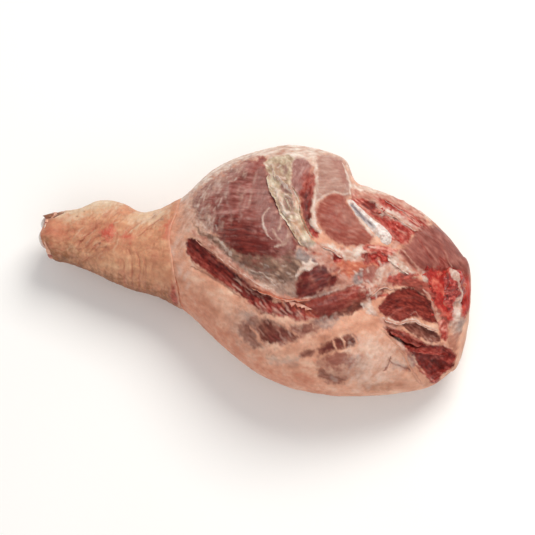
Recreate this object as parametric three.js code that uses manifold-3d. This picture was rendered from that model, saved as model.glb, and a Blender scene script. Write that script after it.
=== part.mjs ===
// Raw ham leg on the bone: a pig's hind leg sawn through at the hock and at the hip, with the skin
// left on the shank and the rest trimmed to fat and lean. It lies on its fat outer side, so the cut
// inner face looks up. Millimetres, +Z up, +X from the hock to the butt, +Y towards the heel side.

import * as THREE from "three";
import { mergeVertices } from "three/addons/utils/BufferGeometryUtils.js";
import Module from "manifold-3d";

// ---------------------------------------------------------------- driving dimensions

// Sections across the leg, from the hock to the butt. near and far are the two sides (Y), under and
// crown the lowest and highest points (Z); under goes below zero where the leg's own weight flattens it.
const SECTIONS = [
  { x: -280, near: -33, far: 28, under: 26, crown: 88, skew: -0.2 }, // hock saw cut, slanted
  { x: -250, near: -32, far: 31, under: 20, crown: 95 },
  { x: -220, near: -39, far: 49, under: 16, crown: 100 }, // point of the heel
  { x: -190, near: -48, far: 49, under: 14, crown: 104 },
  { x: -155, near: -56, far: 41, under: 10, crown: 108 }, // narrowest above the heel
  { x: -115, near: -63, far: 66, under: 4, crown: 120 },
  { x: -75, near: -86, far: 114, under: 0, crown: 142 },
  { x: -30, near: -120, far: 141, under: -4, crown: 160 },
  { x: 20, near: -151, far: 158, under: -6, crown: 172 },
  { x: 66, near: -165, far: 157, under: -6, crown: 172 }, // widest
  { x: 95, near: -167, far: 149, under: -5, crown: 168 },
  { x: 112, near: -167, far: 122, under: -4, crown: 163 }, // step behind the lobe
  { x: 135, near: -165, far: 117, under: -2, crown: 156 },
  { x: 170, near: -158, far: 111, under: 0, crown: 146, lean: -0.1 },
  { x: 208, near: -147, far: 99, under: 6, crown: 130, lean: -0.2 },
  { x: 244, near: -131, far: 77, under: 14, crown: 108, lean: -0.3 },
  { x: 270, near: -106, far: 52, under: 30, crown: 80, lean: -0.3 },
];
const BUTT_NOSE = 16; // how far the butt rounds out past its last section
const SQUARENESS_TOP = 2.3; // superellipse powers of a section's upper and lower half
const SQUARENESS_BOTTOM = 2.2;

const FACE_TILT = THREE.MathUtils.degToRad(20); // the cut face leans towards -Y by this much
const FACE_NORMAL = new THREE.Vector3(0, -Math.sin(FACE_TILT), Math.cos(FACE_TILT));
const FACE_ACROSS = new THREE.Vector3(0, Math.cos(FACE_TILT), Math.sin(FACE_TILT));

const SKIN_STEP = 3; // the shank's skin stands this far above the trimmed flesh
const SOCKET_GAP = 0.35; // clearance between a bone and the flesh round it

const AROUND = 52; // points round a section
const RINGS = 82; // sections along the leg

// Where the skin of the shank was cut, as [x, q]. Every place on the cut face is such a pair: x along
// the leg and q across it, both in the plane of the face.
const SKIN_EDGE = [
  [-114, 110],
  [-111, 75],
  [-115, 45],
  [-107, 14],
  [-99, -13],
  [-90, -45],
  [-88, -90],
];

// Muscles and fat that swell out of the cut face, and hollows cut into it: a closed outline, how far
// it rises (or sinks, below zero), and how wide the round shoulder inside its edge is.
const SWELLINGS = {
  inner_round: {
    outline: [[-96, 60], [-87, 105], [-50, 135], [-12, 155], [4, 140], [16, 102], [41, 71], [53, 50],
      [50, 28], [13, 10], [-26, 14], [-60, 30], [-84, 44]],
    rise: 9,
    shoulder: 42,
  },
  slot_under_round: {
    outline: [[-90, 34], [-82, 41], [-66, 33], [-48, 24], [-14, 2], [20, -13], [32, -18], [5, -19],
      [-28, -9], [-61, 2], [-82, 15]],
    rise: -7,
    shoulder: 8,
  },
  lobe_upper: {
    outline: [[56, 128], [60, 150], [70, 166], [89, 166], [101, 157], [109, 144], [111, 128], [104, 114],
      [84, 108], [64, 112]],
    rise: 12,
    shoulder: 15,
  },
  lobe_lower: {
    outline: [[68, 104], [76, 122], [98, 122], [108, 112], [124, 99], [146, 86], [150, 74], [138, 62],
      [112, 58], [86, 66], [70, 84]],
    rise: 10,
    shoulder: 22,
  },
  rump_cut: {
    outline: [[112, 112], [112, 134], [132, 134], [173, 128], [211, 112], [226, 96], [210, 88], [188, 78],
      [168, 84], [140, 103]],
    rise: -9,
    shoulder: 14,
  },
  veiled_muscle: {
    outline: [[182, 64], [196, 84], [227, 88], [248, 84], [264, 68], [274, 50], [249, 45], [222, 46],
      [200, 42], [184, 50]],
    rise: 7,
    shoulder: 18,
  },
  fan_muscle: {
    outline: [[164, -12], [176, 10], [198, 26], [222, 27], [234, 8], [242, -16], [218, -20], [196, -26],
      [176, -22]],
    rise: -6,
    shoulder: 14,
  },
  oval_muscle: {
    outline: [[62, -8], [66, 14], [83, 28], [98, 28], [105, 16], [98, 1], [78, -8]],
    rise: 4,
    shoulder: 12,
  },
  sausage_muscle: {
    outline: [[72, -14], [94, -8], [112, 2], [130, 14], [152, 16], [158, 6], [142, -8], [122, -22], [98, -33],
      [78, -34]],
    rise: 6,
    shoulder: 13,
  },
  membrane_patch: {
    outline: [[198, -28], [214, -25], [234, -29], [250, -36], [250, -44], [232, -41], [214, -36]],
    rise: 3,
    shoulder: 5,
  },
  torn_corner: {
    outline: [[180, -36], [202, -48], [232, -50], [262, -56], [274, -70], [262, -90], [248, -102],
      [228, -92], [210, -68], [192, -50]],
    rise: -9,
    shoulder: 8,
  },
  flank_window: {
    outline: [[-4, -60], [16, -54], [48, -54], [72, -60], [60, -71], [40, -78], [18, -76]],
    rise: -2,
    shoulder: 6,
  },
  flank_window_small: {
    outline: [[102, -70], [112, -60], [138, -52], [144, -60], [124, -72], [106, -78]],
    rise: -2,
    shoulder: 5,
  },
};

// Furrows (rise below zero) and welts along a line on the cut face: reach is the half width.
const LINES = {
  round_edge: { line: [[8, 140], [18, 100], [42, 71], [54, 54]], rise: -3, reach: 4 },
  silver_rim: { line: [[-84, 47], [-66, 35], [-32, 18], [4, -3], [45, -18], [62, -18]], rise: 4, reach: 4 },
  fat_strip: { line: [[14, 152], [24, 122], [44, 88], [62, 62], [80, 54]], rise: 2, reach: 7 },
  deep_slot: { line: [[50, 140], [52, 118], [55, 100], [62, 82], [72, 71]], rise: -10, reach: 5 },
  lobe_seam: { line: [[68, 117], [79, 122], [106, 125]], rise: -3, reach: 4 },
  rump_pit: { line: [[128, 118], [138, 116], [152, 107]], rise: -6, reach: 6 },
  rump_ridge: { line: [[132, 124], [158, 115], [193, 98], [212, 90]], rise: 6, reach: 6 },
  rump_rim: { line: [[120, 136], [150, 135], [186, 128], [212, 112]], rise: 5, reach: 7 },
  sausage_seam: { line: [[64, -14], [94, -4], [129, 13]], rise: -3, reach: 4 },
  tissue_ridge: { line: [[150, -2], [164, 14], [176, 24], [196, 44]], rise: 4, reach: 6 },
  flank_band: { line: [[30, -88], [77, -66], [104, -50], [148, -22]], rise: 4, reach: 14 },
  fan_rim: { line: [[172, -23], [192, -28], [218, -22], [250, -33]], rise: 3, reach: 4 },
  fold_upper: { line: [[196, -38], [222, -46], [254, -50]], rise: 6, reach: 4 },
  fold_gap: { line: [[186, -44], [204, -53], [240, -58], [262, -63]], rise: -8, reach: 5 },
  fold_middle: { line: [[212, -61], [240, -66], [266, -72]], rise: 7, reach: 5 },
  fold_pit: { line: [[226, -74], [244, -80], [264, -84]], rise: -9, reach: 5 },
  fold_lower: { line: [[226, -86], [240, -92], [254, -98]], rise: 6, reach: 5 },
  flank_crease: { line: [[183, -87], [190, -76], [208, -84], [221, -86]], rise: -2, reach: 3 },
};

// Loose fat, torn tissue and gristle, lumpy all over: centre, reach, and height of the lumps.
const LUMPY_AREAS = [
  { centre: [150, 42], reach: 42, height: 3 },
  { centre: [176, 108], reach: 36, height: 3 },
  { centre: [236, -70], reach: 32, height: 3 },
];
const LUMP_SIZE = 13;

// The pubic bone's cut branch, from its grey stretch to its white knob, as [x, q, half width].
const AITCH_BONE = {
  line: [[108, 112, 5], [122, 103, 7], [136, 94, 8], [150, 86, 10], [162, 76, 9]],
  sunk: 3, // centre line below the flesh
  flatness: 0.75, // height as a share of its width
};

// The sawn hip bone at the butt: centre as [x, q], half lengths along x, along q and into the flesh.
const HIP_BONE = { centre: [262, 10], half: [27, 42, 16], sunk: 9, crag: 4, cragSize: 12 };

// The joint end that the hock cut leaves: centre (Y, Z), radii, how far it stands out and goes in.
const HOCK_BONE = { centre: [1, 60], radii: [23, 25], proud: 10, deep: 14 };

const COLOURS = { flesh: 0xa9655a, cartilage: 0xd9d0cc, spongy_bone: 0xc0493f, joint_end: 0xcdb9b0 };

// ---------------------------------------------------------------- the bare form

const smoothstep = THREE.MathUtils.smoothstep;

/** Value at share t between b and c of a smooth curve through a, b, c and d. */
function catmullRom(a, b, c, d, t) {
  const rise = (c - a) / 2;
  const fall = (d - b) / 2;
  return (2 * b - 2 * c + rise + fall) * t ** 3 + (3 * c - 3 * b - 2 * rise - fall) * t ** 2 + rise * t + b;
}

/** The section at position s, counted in sections from the hock. */
function sectionAt(s) {
  const last = SECTIONS.length - 1;
  const from = Math.min(Math.floor(s), last - 1);
  const four = [from - 1, from, from + 1, from + 2].map((i) => SECTIONS[THREE.MathUtils.clamp(i, 0, last)]);
  const value = (key) => catmullRom(...four.map((section) => section[key] ?? 0), s - from);
  return { x: value("x"), near: value("near"), far: value("far"), under: value("under"),
    crown: value("crown"), lean: value("lean"), skew: value("skew") };
}

/** The point of a section at an angle: 0 is the far side, a quarter turn the crown. */
function sectionPoint(section, angle) {
  const c = Math.cos(angle);
  const s = Math.sin(angle);
  const power = 2 / (s >= 0 ? SQUARENESS_TOP : SQUARENESS_BOTTOM);
  const across = Math.sign(c) * Math.abs(c) ** power;
  const up = Math.sign(s) * Math.abs(s) ** power;
  const rise = (up * (section.crown - section.under)) / 2;
  const middleY = (section.near + section.far) / 2;
  const middleZ = (section.under + section.crown) / 2;
  const reach = (across * (section.far - section.near)) / 2;
  const x = section.x + section.lean * rise + section.skew * reach;
  return new THREE.Vector3(x, middleY + reach, middleZ + rise);
}

/** Cuts a run of samples into equal shares of its weight and returns where the cuts fall. */
function evenCuts(weights, count) {
  const total = weights.reduce((sum, w) => sum + w, 0);
  const cuts = [];
  let passed = 0;
  weights.forEach((w, i) => {
    while (cuts.length < count && passed + w >= (total * cuts.length) / count) {
      cuts.push(i + ((total * cuts.length) / count - passed) / w);
    }
    passed += w;
  });
  return cuts;
}

/** Angles round a section, close together on the cut face and wide apart beneath. */
function ringAngles(section) {
  const fine = 720;
  const beneath = 0.34;
  const at = (i) => sectionPoint(section, (i / fine) * 2 * Math.PI);
  const weights = Array.from({ length: fine }, (_, i) => {
    const along = at(i + 1).sub(at(i));
    const facing = new THREE.Vector3(0, along.z, -along.y).normalize().dot(FACE_NORMAL);
    return along.length() * (beneath + (1 - beneath) * smoothstep(facing, -0.1, 0.35));
  });
  return evenCuts(weights, AROUND).map((cut) => (cut / fine) * 2 * Math.PI);
}

/** Section positions along the leg, closer together past the shank. */
function ringPositions() {
  const fine = 2400;
  const shank = 0.6;
  const last = SECTIONS.length - 1;
  const edges = [0, 0.25, 0.5, 0.75, 1, 1.5].map((turn) => turn * Math.PI);
  const at = (i) => edges.map((angle) => sectionPoint(sectionAt((i / fine) * last), angle));
  const weights = Array.from({ length: fine }, (_, i) => {
    const next = at(i + 1);
    const step = Math.max(...at(i).map((p, k) => p.distanceTo(next[k])));
    return step * (shank + (1 - shank) * smoothstep(next[0].x, -120, -80));
  });
  return [...evenCuts(weights, RINGS - 1), fine].map((cut) => (cut / fine) * last);
}

// ---------------------------------------------------------------- the relief on the cut face

/** Points along a smooth line through [x, q] pairs. */
function smoothLine(pairs, closed) {
  const curve = new THREE.CatmullRomCurve3(
    pairs.map(([x, q]) => new THREE.Vector3(x, q, 0)), closed, "catmullrom", 0.5);
  return curve.getPoints(pairs.length * 5);
}

/** Distance from (x, q) to a line of points. */
function distanceTo(points, x, q) {
  const here = new THREE.Vector3(x, q, 0);
  const near = new THREE.Vector3();
  let best = Infinity;
  for (let i = 1; i < points.length; i++) {
    new THREE.Line3(points[i - 1], points[i]).closestPointToPoint(here, true, near);
    best = Math.min(best, near.distanceToSquared(here));
  }
  return Math.sqrt(best);
}

/** Whether (x, q) is inside a closed line of points. */
function isInside(points, x, q) {
  let inside = false;
  for (let i = 1; i < points.length; i++) {
    const a = points[i - 1];
    const b = points[i];
    if (a.y > q !== b.y > q && x < a.x + ((q - a.y) / (b.y - a.y)) * (b.x - a.x)) inside = !inside;
  }
  return inside;
}

/** A repeatable random number from 0 to 1 for a grid cell. */
function cellValue(i, j, k) {
  const wave = Math.sin(i * 127.1 + j * 311.7 + k * 74.7) * 43758.5453;
  return wave - Math.floor(wave);
}

/** Smooth lumps from -1 to 1 of about the given size. */
function lumps(x, y, z, size) {
  const [i, j, k] = [x, y, z].map((v) => Math.floor(v / size));
  const [u, v, w] = [x / size - i, y / size - j, z / size - k].map((t) => smoothstep(t, 0, 1));
  const mix = THREE.MathUtils.lerp;
  const row = (b, c) => mix(cellValue(i, j + b, k + c), cellValue(i + 1, j + b, k + c), u);
  return 2 * mix(mix(row(0, 0), row(1, 0), v), mix(row(0, 1), row(1, 1), v), w) - 1;
}

const swellings = Object.values(SWELLINGS).map((s) => ({ ...s, points: smoothLine(s.outline, true) }));
const lines = Object.values(LINES).map((l) => ({ ...l, points: smoothLine(l.line, false) }));
const skinEdge = smoothLine(SKIN_EDGE, false);

/** How far the cut face rises over the bare form at exactly (x, q). */
function sharpRelief(x, q) {
  let height = 0;
  for (const { points, rise, shoulder } of swellings) {
    if (!isInside(points, x, q)) continue;
    const flat = 1 - Math.min(distanceTo(points, x, q) / shoulder, 1);
    height += rise * Math.sqrt(1 - flat * flat);
  }
  for (const { points, rise, reach } of lines) {
    height += rise * Math.exp(-((distanceTo(points, x, q) / reach) ** 2));
  }
  for (const { centre, reach, height: tall } of LUMPY_AREAS) {
    const fade = Math.exp(-((Math.hypot(x - centre[0], q - centre[1]) / reach) ** 4));
    height += tall * fade * lumps(x, q, 0, LUMP_SIZE);
  }
  return height;
}

/** The relief at (x, q), softened over a mesh cell so that thin furrows don't break up into teeth. */
function faceRelief(x, q) {
  const spread = 3;
  let sum = 0;
  for (const i of [-1, 0, 1]) {
    for (const j of [-1, 0, 1]) {
      const weight = (2 - Math.abs(i)) * (2 - Math.abs(j));
      sum += (weight / 16) * sharpRelief(x + i * spread, q + j * spread);
    }
  }
  return sum;
}

/** How far the skin of the shank stands out at a point, falling to nothing past its edge. */
function skinStep(x, q) {
  let edge = skinEdge[0].x;
  for (const point of skinEdge) {
    if (point.y >= q) edge = point.x;
  }
  return SKIN_STEP * (1 - smoothstep(x, edge - 2, edge + 4));
}

/** The bare form's point with its skin step, relief and resting flat. */
function surfacePoint(section, angle) {
  const turn = 0.01;
  const point = sectionPoint(section, angle);
  const along = sectionPoint(section, angle + turn).sub(sectionPoint(section, angle - turn));
  const outward = new THREE.Vector3(0, along.z, -along.y).normalize();
  const q = point.dot(FACE_ACROSS);
  const facing = smoothstep(outward.dot(FACE_NORMAL), 0.1, 0.6);
  point.addScaledVector(outward, skinStep(point.x, q));
  point.addScaledVector(FACE_NORMAL, facing * faceRelief(point.x, q));
  point.z = Math.max(point.z, 0);
  return point;
}

// ---------------------------------------------------------------- solids

/** A closed geometry through rings of equally many points, with a centre point at each end. */
function closedLoft(rings, startPoint, endPoint) {
  const around = rings[0].length;
  const points = [startPoint, ...rings.flat(), endPoint];
  const end = points.length - 1;
  const index = [];
  for (let j = 0; j < around; j++) {
    const next = (j + 1) % around;
    index.push(0, 1 + next, 1 + j);
    for (let i = 0; i < rings.length - 1; i++) {
      const here = 1 + i * around;
      const there = here + around;
      index.push(here + j, there + next, there + j, here + j, here + next, there + next);
    }
    const last = 1 + (rings.length - 1) * around;
    index.push(end, last + j, last + next);
  }
  const geometry = new THREE.BufferGeometry().setFromPoints(points);
  geometry.setIndex(index);
  return geometry;
}

/** The leg without its bone sockets. */
function makeFlesh() {
  const rings = ringPositions().map((s) => {
    const section = sectionAt(s);
    return ringAngles(section).map((angle) => surfacePoint(section, angle));
  });
  const middle = (ring) =>
    ring.reduce((sum, p) => sum.add(p), new THREE.Vector3()).divideScalar(ring.length);
  const shrink = (ring, share, shift) => {
    const centre = middle(ring);
    return ring.map((p) => centre.clone().lerp(p, share).add(new THREE.Vector3(shift, 0, 0)));
  };
  const hock = rings[0];
  const butt = rings[rings.length - 1];
  const nose = [0.25, 0.5, 0.75].map((turn) => (turn * Math.PI) / 2);
  const hockCap = [0.4, 0.75].map((share) => shrink(hock, share, 0));
  const buttCap = nose.map((turn) => shrink(butt, Math.cos(turn), BUTT_NOSE * Math.sin(turn)));
  return closedLoft(
    [...hockCap, ...rings, ...buttCap], middle(hock), middle(butt).add(new THREE.Vector3(BUTT_NOSE, 0, 0)));
}

/** Height of the flesh along the face's normal at (x, q), found on its own triangles. */
function fleshHeight(flesh, x, q) {
  const position = flesh.getAttribute("position");
  const corner = [0, 1, 2].map(() => new THREE.Vector3());
  const flat = [0, 1, 2].map(() => new THREE.Vector3());
  const target = new THREE.Vector3(x, q, 0);
  const share = new THREE.Vector3();
  let height = -Infinity;
  for (let i = 0; i < flesh.index.count; i += 3) {
    corner.forEach((c, k) => c.fromBufferAttribute(position, flesh.index.getX(i + k)));
    flat.forEach((f, k) => f.set(corner[k].x, corner[k].dot(FACE_ACROSS), 0));
    if (!THREE.Triangle.getBarycoord(target, ...flat, share)) continue;
    if (Math.min(share.x, share.y, share.z) < 0) continue;
    const here = corner.reduce((sum, c, k) => sum + c.dot(FACE_NORMAL) * share.getComponent(k), 0);
    height = Math.max(height, here);
  }
  return height;
}

/** The point at (x, q) and a height along the face's normal. */
function facePoint(x, q, height) {
  return new THREE.Vector3(x, 0, 0).addScaledVector(FACE_ACROSS, q).addScaledVector(FACE_NORMAL, height);
}

/** The aitch bone, grown by a clearance when it is used to cut its socket. */
function makeAitchBone(flesh, grow) {
  const steps = 22;
  const sides = 20;
  const stations = AITCH_BONE.line.map(([x, q, half]) => {
    const height = fleshHeight(flesh, x, q) - AITCH_BONE.sunk;
    return { centre: facePoint(x, q, height), half };
  });
  const path = new THREE.CatmullRomCurve3(stations.map((s) => s.centre));
  const halves = new THREE.CatmullRomCurve3(stations.map((s) => new THREE.Vector3(s.half, 0, 0)));
  const rings = [];
  for (let i = 1; i < steps; i++) {
    const t = i / steps;
    const centre = path.getPoint(t);
    const side = path.getTangent(t).cross(FACE_NORMAL).normalize();
    const roundEnd = Math.sqrt(1 - Math.abs(2 * t - 1) ** 6);
    const half = halves.getPoint(t).x * roundEnd + grow;
    rings.push(Array.from({ length: sides }, (_, j) => {
      const angle = (-2 * Math.PI * j) / sides;
      return centre.clone()
        .addScaledVector(side, half * Math.cos(angle))
        .addScaledVector(FACE_NORMAL, half * AITCH_BONE.flatness * Math.sin(angle));
    }));
  }
  const stretch = path.getTangent(0).multiplyScalar(grow);
  return closedLoft(rings, path.getPoint(0).sub(stretch), path.getPoint(1).add(stretch));
}

/** The hip bone's sawn stump: a craggy lump that follows the slope of the butt. */
function makeHipBone(flesh, grow) {
  const [x, q] = HIP_BONE.centre;
  const [halfX, halfQ, halfDeep] = HIP_BONE.half;
  const reach = 14;
  const slope = (fleshHeight(flesh, x + reach, q) - fleshHeight(flesh, x - reach, q)) / (2 * reach);
  const along = new THREE.Vector3(1, 0, 0).addScaledVector(FACE_NORMAL, slope).normalize();
  const outward = FACE_NORMAL.clone().addScaledVector(new THREE.Vector3(1, 0, 0), -slope).normalize();
  const centre = facePoint(x, q, fleshHeight(flesh, x, q)).addScaledVector(outward, -HIP_BONE.sunk);
  const geometry = new THREE.IcosahedronGeometry(1, 6);
  geometry.deleteAttribute("normal");
  geometry.deleteAttribute("uv");
  const ball = mergeVertices(geometry, 1e-4);
  const position = ball.getAttribute("position");
  for (let i = 0; i < position.count; i++) {
    const unit = new THREE.Vector3().fromBufferAttribute(position, i).normalize();
    const crag = HIP_BONE.crag * lumps(unit.x * halfX, unit.y * halfQ, unit.z * halfDeep, HIP_BONE.cragSize);
    const point = centre.clone()
      .addScaledVector(along, unit.x * (halfX + crag + grow))
      .addScaledVector(FACE_ACROSS, unit.y * (halfQ + crag + grow))
      .addScaledVector(outward, unit.z * (halfDeep + crag + grow));
    position.setXYZ(i, point.x, point.y, point.z);
  }
  return ball;
}

/** The domed joint end in the hock cut. */
function makeHockBone(grow) {
  const sides = 28;
  const [y, z] = HOCK_BONE.centre;
  const [radiusY, radiusZ] = HOCK_BONE.radii;
  const cut = SECTIONS[0].x;
  const ring = (x, share) => Array.from({ length: sides }, (_, j) => {
    const angle = (2 * Math.PI * j) / sides;
    return new THREE.Vector3(
      x, y + (radiusY * share + grow) * Math.cos(angle), z + (radiusZ * share + grow) * Math.sin(angle));
  });
  const dome = [0.2, 0.4, 0.6, 0.8].map((turn) => (turn * Math.PI) / 2);
  const rings = dome.map((turn) => ring(cut - (HOCK_BONE.proud + grow) * Math.cos(turn), Math.sin(turn)));
  rings.push(ring(cut, 1), ring(cut + HOCK_BONE.deep / 2, 1), ring(cut + HOCK_BONE.deep + grow, 0.9));
  return closedLoft(
    rings,
    new THREE.Vector3(cut - HOCK_BONE.proud - grow, y, z),
    new THREE.Vector3(cut + HOCK_BONE.deep + grow, y, z));
}

// ---------------------------------------------------------------- cutting the sockets

const manifold = await Module();
manifold.setup();

/** A closed geometry as a solid that can be cut. */
function toSolid(geometry) {
  const merged = mergeVertices(geometry, 1e-4);
  return new manifold.Manifold(new manifold.Mesh({
    numProp: 3,
    vertProperties: new Float32Array(merged.getAttribute("position").array),
    triVerts: new Uint32Array(merged.index.array),
  }));
}

/** A cut solid as a geometry again. */
function toGeometry(solid) {
  const mesh = solid.getMesh();
  const geometry = new THREE.BufferGeometry();
  geometry.setAttribute("position", new THREE.BufferAttribute(new Float32Array(mesh.vertProperties), 3));
  geometry.setIndex(new THREE.BufferAttribute(new Uint32Array(mesh.triVerts), 1));
  return geometry;
}

/** The largest body of a solid, without the scraps that a cut leaves. */
function largestBody(solid) {
  return solid.decompose().reduce((a, b) => (a.volume() > b.volume() ? a : b));
}

// ---------------------------------------------------------------- the leg

const flesh = makeFlesh();
const boneMakers = {
  aitch_bone: (grow) => makeAitchBone(flesh, grow),
  hip_bone: (grow) => makeHipBone(flesh, grow),
  hock_bone: (grow) => makeHockBone(grow),
};

let legSolid = toSolid(flesh);
for (const make of Object.values(boneMakers)) {
  legSolid = legSolid.subtract(toSolid(make(SOCKET_GAP)));
}

/** A named piece with its own material. */
function piece(name, geometry, color, roughness) {
  geometry.computeVertexNormals();
  const material = new THREE.MeshStandardMaterial({ color, roughness, metalness: 0 });
  const mesh = new THREE.Mesh(geometry, material);
  mesh.name = name;
  return mesh;
}

const leg = new THREE.Group();
leg.add(piece("leg", toGeometry(largestBody(legSolid)), COLOURS.flesh, 0.5));
leg.add(piece("aitch_bone", boneMakers.aitch_bone(0), COLOURS.cartilage, 0.35));
leg.add(piece("hip_bone", boneMakers.hip_bone(0), COLOURS.spongy_bone, 0.55));
leg.add(piece("hock_bone", boneMakers.hock_bone(0), COLOURS.joint_end, 0.45));

// The origin is under the middle of the leg.
const box = new THREE.Box3().setFromObject(leg, true);
const centre = box.getCenter(new THREE.Vector3());
leg.children.forEach((mesh) => mesh.geometry.translate(-centre.x, -centre.y, -box.min.z));

export default leg;
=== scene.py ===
"""Looks of a raw ham leg on the bone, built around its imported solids.

The leg lies on its fat outer side with the trimmed inner face up. Its form is a loft through named
sections, in millimetres. A place on the cut face is a pair (x, q): x runs along the leg from the hock
to the butt, and q runs across the face. Tissue outlines, furrows and strokes are all such pairs.
"""

from __future__ import annotations

import logging
import math
from dataclasses import dataclass, field, fields
from enum import Enum
from typing import Any, Callable, Sequence

import bmesh
import bpy
import numpy as np
from mathutils import Matrix, Vector


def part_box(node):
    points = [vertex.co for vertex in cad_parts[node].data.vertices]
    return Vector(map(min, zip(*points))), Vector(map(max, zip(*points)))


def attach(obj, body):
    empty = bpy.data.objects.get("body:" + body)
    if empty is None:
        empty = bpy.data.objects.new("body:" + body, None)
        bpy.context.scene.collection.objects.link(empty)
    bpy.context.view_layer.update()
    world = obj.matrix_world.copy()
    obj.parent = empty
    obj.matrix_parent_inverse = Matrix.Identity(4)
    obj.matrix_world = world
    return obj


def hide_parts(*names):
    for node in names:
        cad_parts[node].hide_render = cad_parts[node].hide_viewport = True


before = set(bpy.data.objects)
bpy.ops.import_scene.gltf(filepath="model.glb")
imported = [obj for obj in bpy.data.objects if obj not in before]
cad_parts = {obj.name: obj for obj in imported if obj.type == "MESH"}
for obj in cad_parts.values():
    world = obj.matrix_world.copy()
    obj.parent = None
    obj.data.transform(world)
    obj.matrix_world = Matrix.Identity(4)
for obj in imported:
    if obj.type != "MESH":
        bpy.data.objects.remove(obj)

log = logging.getLogger("ham_leg")

MM = 0.001
FACE_TILT = math.radians(20.0)  # the cut face leans towards -Y by this much
FACE_NORMAL = np.array([0.0, -math.sin(FACE_TILT), math.cos(FACE_TILT)])
FACE_ACROSS = np.array([0.0, math.cos(FACE_TILT), math.sin(FACE_TILT)])

Pairs = tuple[tuple[float, float], ...]


# ---------------------------------------------------------------- small helpers


def smoothstep(value: np.ndarray | float, low: float, high: float) -> np.ndarray:
    """Eases from 0 at low to 1 at high.

    Args:
        value: What is compared, a number or an array.
        low: Where the rise starts.
        high: Where it ends; below low it falls instead.

    Returns:
        The eased share, the shape of value.
    """
    t = np.clip((np.asarray(value, float) - low) / (high - low), 0.0, 1.0)
    return t * t * (3.0 - 2.0 * t)


def linear(colour: str) -> np.ndarray:
    """The linear RGB of an sRGB hex colour such as "#c08070"."""
    value = np.array([int(colour[i:i + 2], 16) / 255.0 for i in (1, 3, 5)])
    return np.where(value <= 0.04045, value / 12.92, ((value + 0.055) / 1.055) ** 2.4)


def rgba(colour: str) -> tuple[float, float, float, float]:
    """An sRGB hex colour as a socket value."""
    r, g, b = linear(colour)
    return float(r), float(g), float(b), 1.0


def catmull_rom(rows: np.ndarray, position: np.ndarray) -> np.ndarray:
    """Values of a smooth curve through the rows of a table.

    Args:
        rows: One row of values for each whole position, counted from 0.
        position: Where the curve is read.

    Returns:
        One row of values for each position.
    """
    last = len(rows) - 1
    start = np.clip(np.floor(position).astype(int), 0, last - 1)
    a, b, c, d = (rows[np.clip(start + i, 0, last)] for i in (-1, 0, 1, 2))
    t = (position - start)[..., None]
    rise, fall = (c - a) / 2.0, (d - b) / 2.0
    return (2 * b - 2 * c + rise + fall) * t**3 + (3 * c - 3 * b - 2 * rise - fall) * t**2 + rise * t + b


def evenly(values: np.ndarray, steps: np.ndarray, count: int) -> np.ndarray:
    """Reads a row of values at places that are equally far apart.

    Args:
        values: The values, in order.
        steps: How far it is from each value to the next.
        count: How many places there are, both ends included.

    Returns:
        One value for each place.
    """
    passed = np.concatenate([[0], np.cumsum(steps)])
    return np.interp(np.linspace(0, passed[-1], count), passed, values)


class Noise:
    """Smooth noise that is the same on each run."""

    def __init__(self, seed: int) -> None:
        """Shuffles the lattice.

        Args:
            seed: Picks the pattern.
        """
        rng = np.random.default_rng(seed)
        self._order = np.tile(rng.permutation(256), 3)
        slopes = rng.normal(size=(256, 3))
        self._slopes = slopes / np.linalg.norm(slopes, axis=1, keepdims=True)

    def at(self, points: np.ndarray, size: float | Sequence[float]) -> np.ndarray:
        """Noise from about -1 to 1.

        Args:
            points: Rows of three coordinates in millimetres.
            size: Millimetres from one lump to the next, or one such number for each axis.

        Returns:
            One value for each point.
        """
        spot = points / np.asarray(size, float)
        cell = np.floor(spot).astype(int)
        part = spot - cell
        ease = part**3 * (part * (part * 6 - 15) + 10)
        total = np.zeros(len(points))
        for corner in range(8):
            step = np.array([corner & 1, corner >> 1 & 1, corner >> 2 & 1])
            i, j, k = ((cell + step) & 255).T
            slope = self._slopes[self._order[self._order[self._order[i] + j] + k]]
            share = np.prod(np.where(step, ease, 1 - ease), axis=1)
            total += share * np.einsum("ij,ij->i", slope, part - step)
        return total * 1.7

    def fractal(self, points: np.ndarray, size: float | Sequence[float], octaves: int = 3) -> np.ndarray:
        """Noise with finer noise on it, from about -1 to 1.

        Args:
            points: Rows of three coordinates in millimetres.
            size: Millimetres between the largest lumps.
            octaves: How many times finer noise is added.

        Returns:
            One value for each point.
        """
        total = np.zeros(len(points))
        for octave in range(octaves):
            total += self.at(points + 37.0 * octave, np.asarray(size, float) / 2.03**octave) / 1.9**octave
        return total / 1.35

    def creased(self, points: np.ndarray, size: float | Sequence[float], octaves: int = 3) -> np.ndarray:
        """Sharp ridges between soft hollows, from 0 in the hollows to 1 on the ridges."""
        total = np.zeros(len(points))
        for octave in range(octaves):
            crease = 1.0 - np.abs(self.at(points + 53.0 * octave, np.asarray(size, float) / 2.1**octave))
            total += crease**2 / 2.0**octave
        return np.clip(total / 1.9, 0.0, 1.0)


NOISE = Noise(11)


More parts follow.
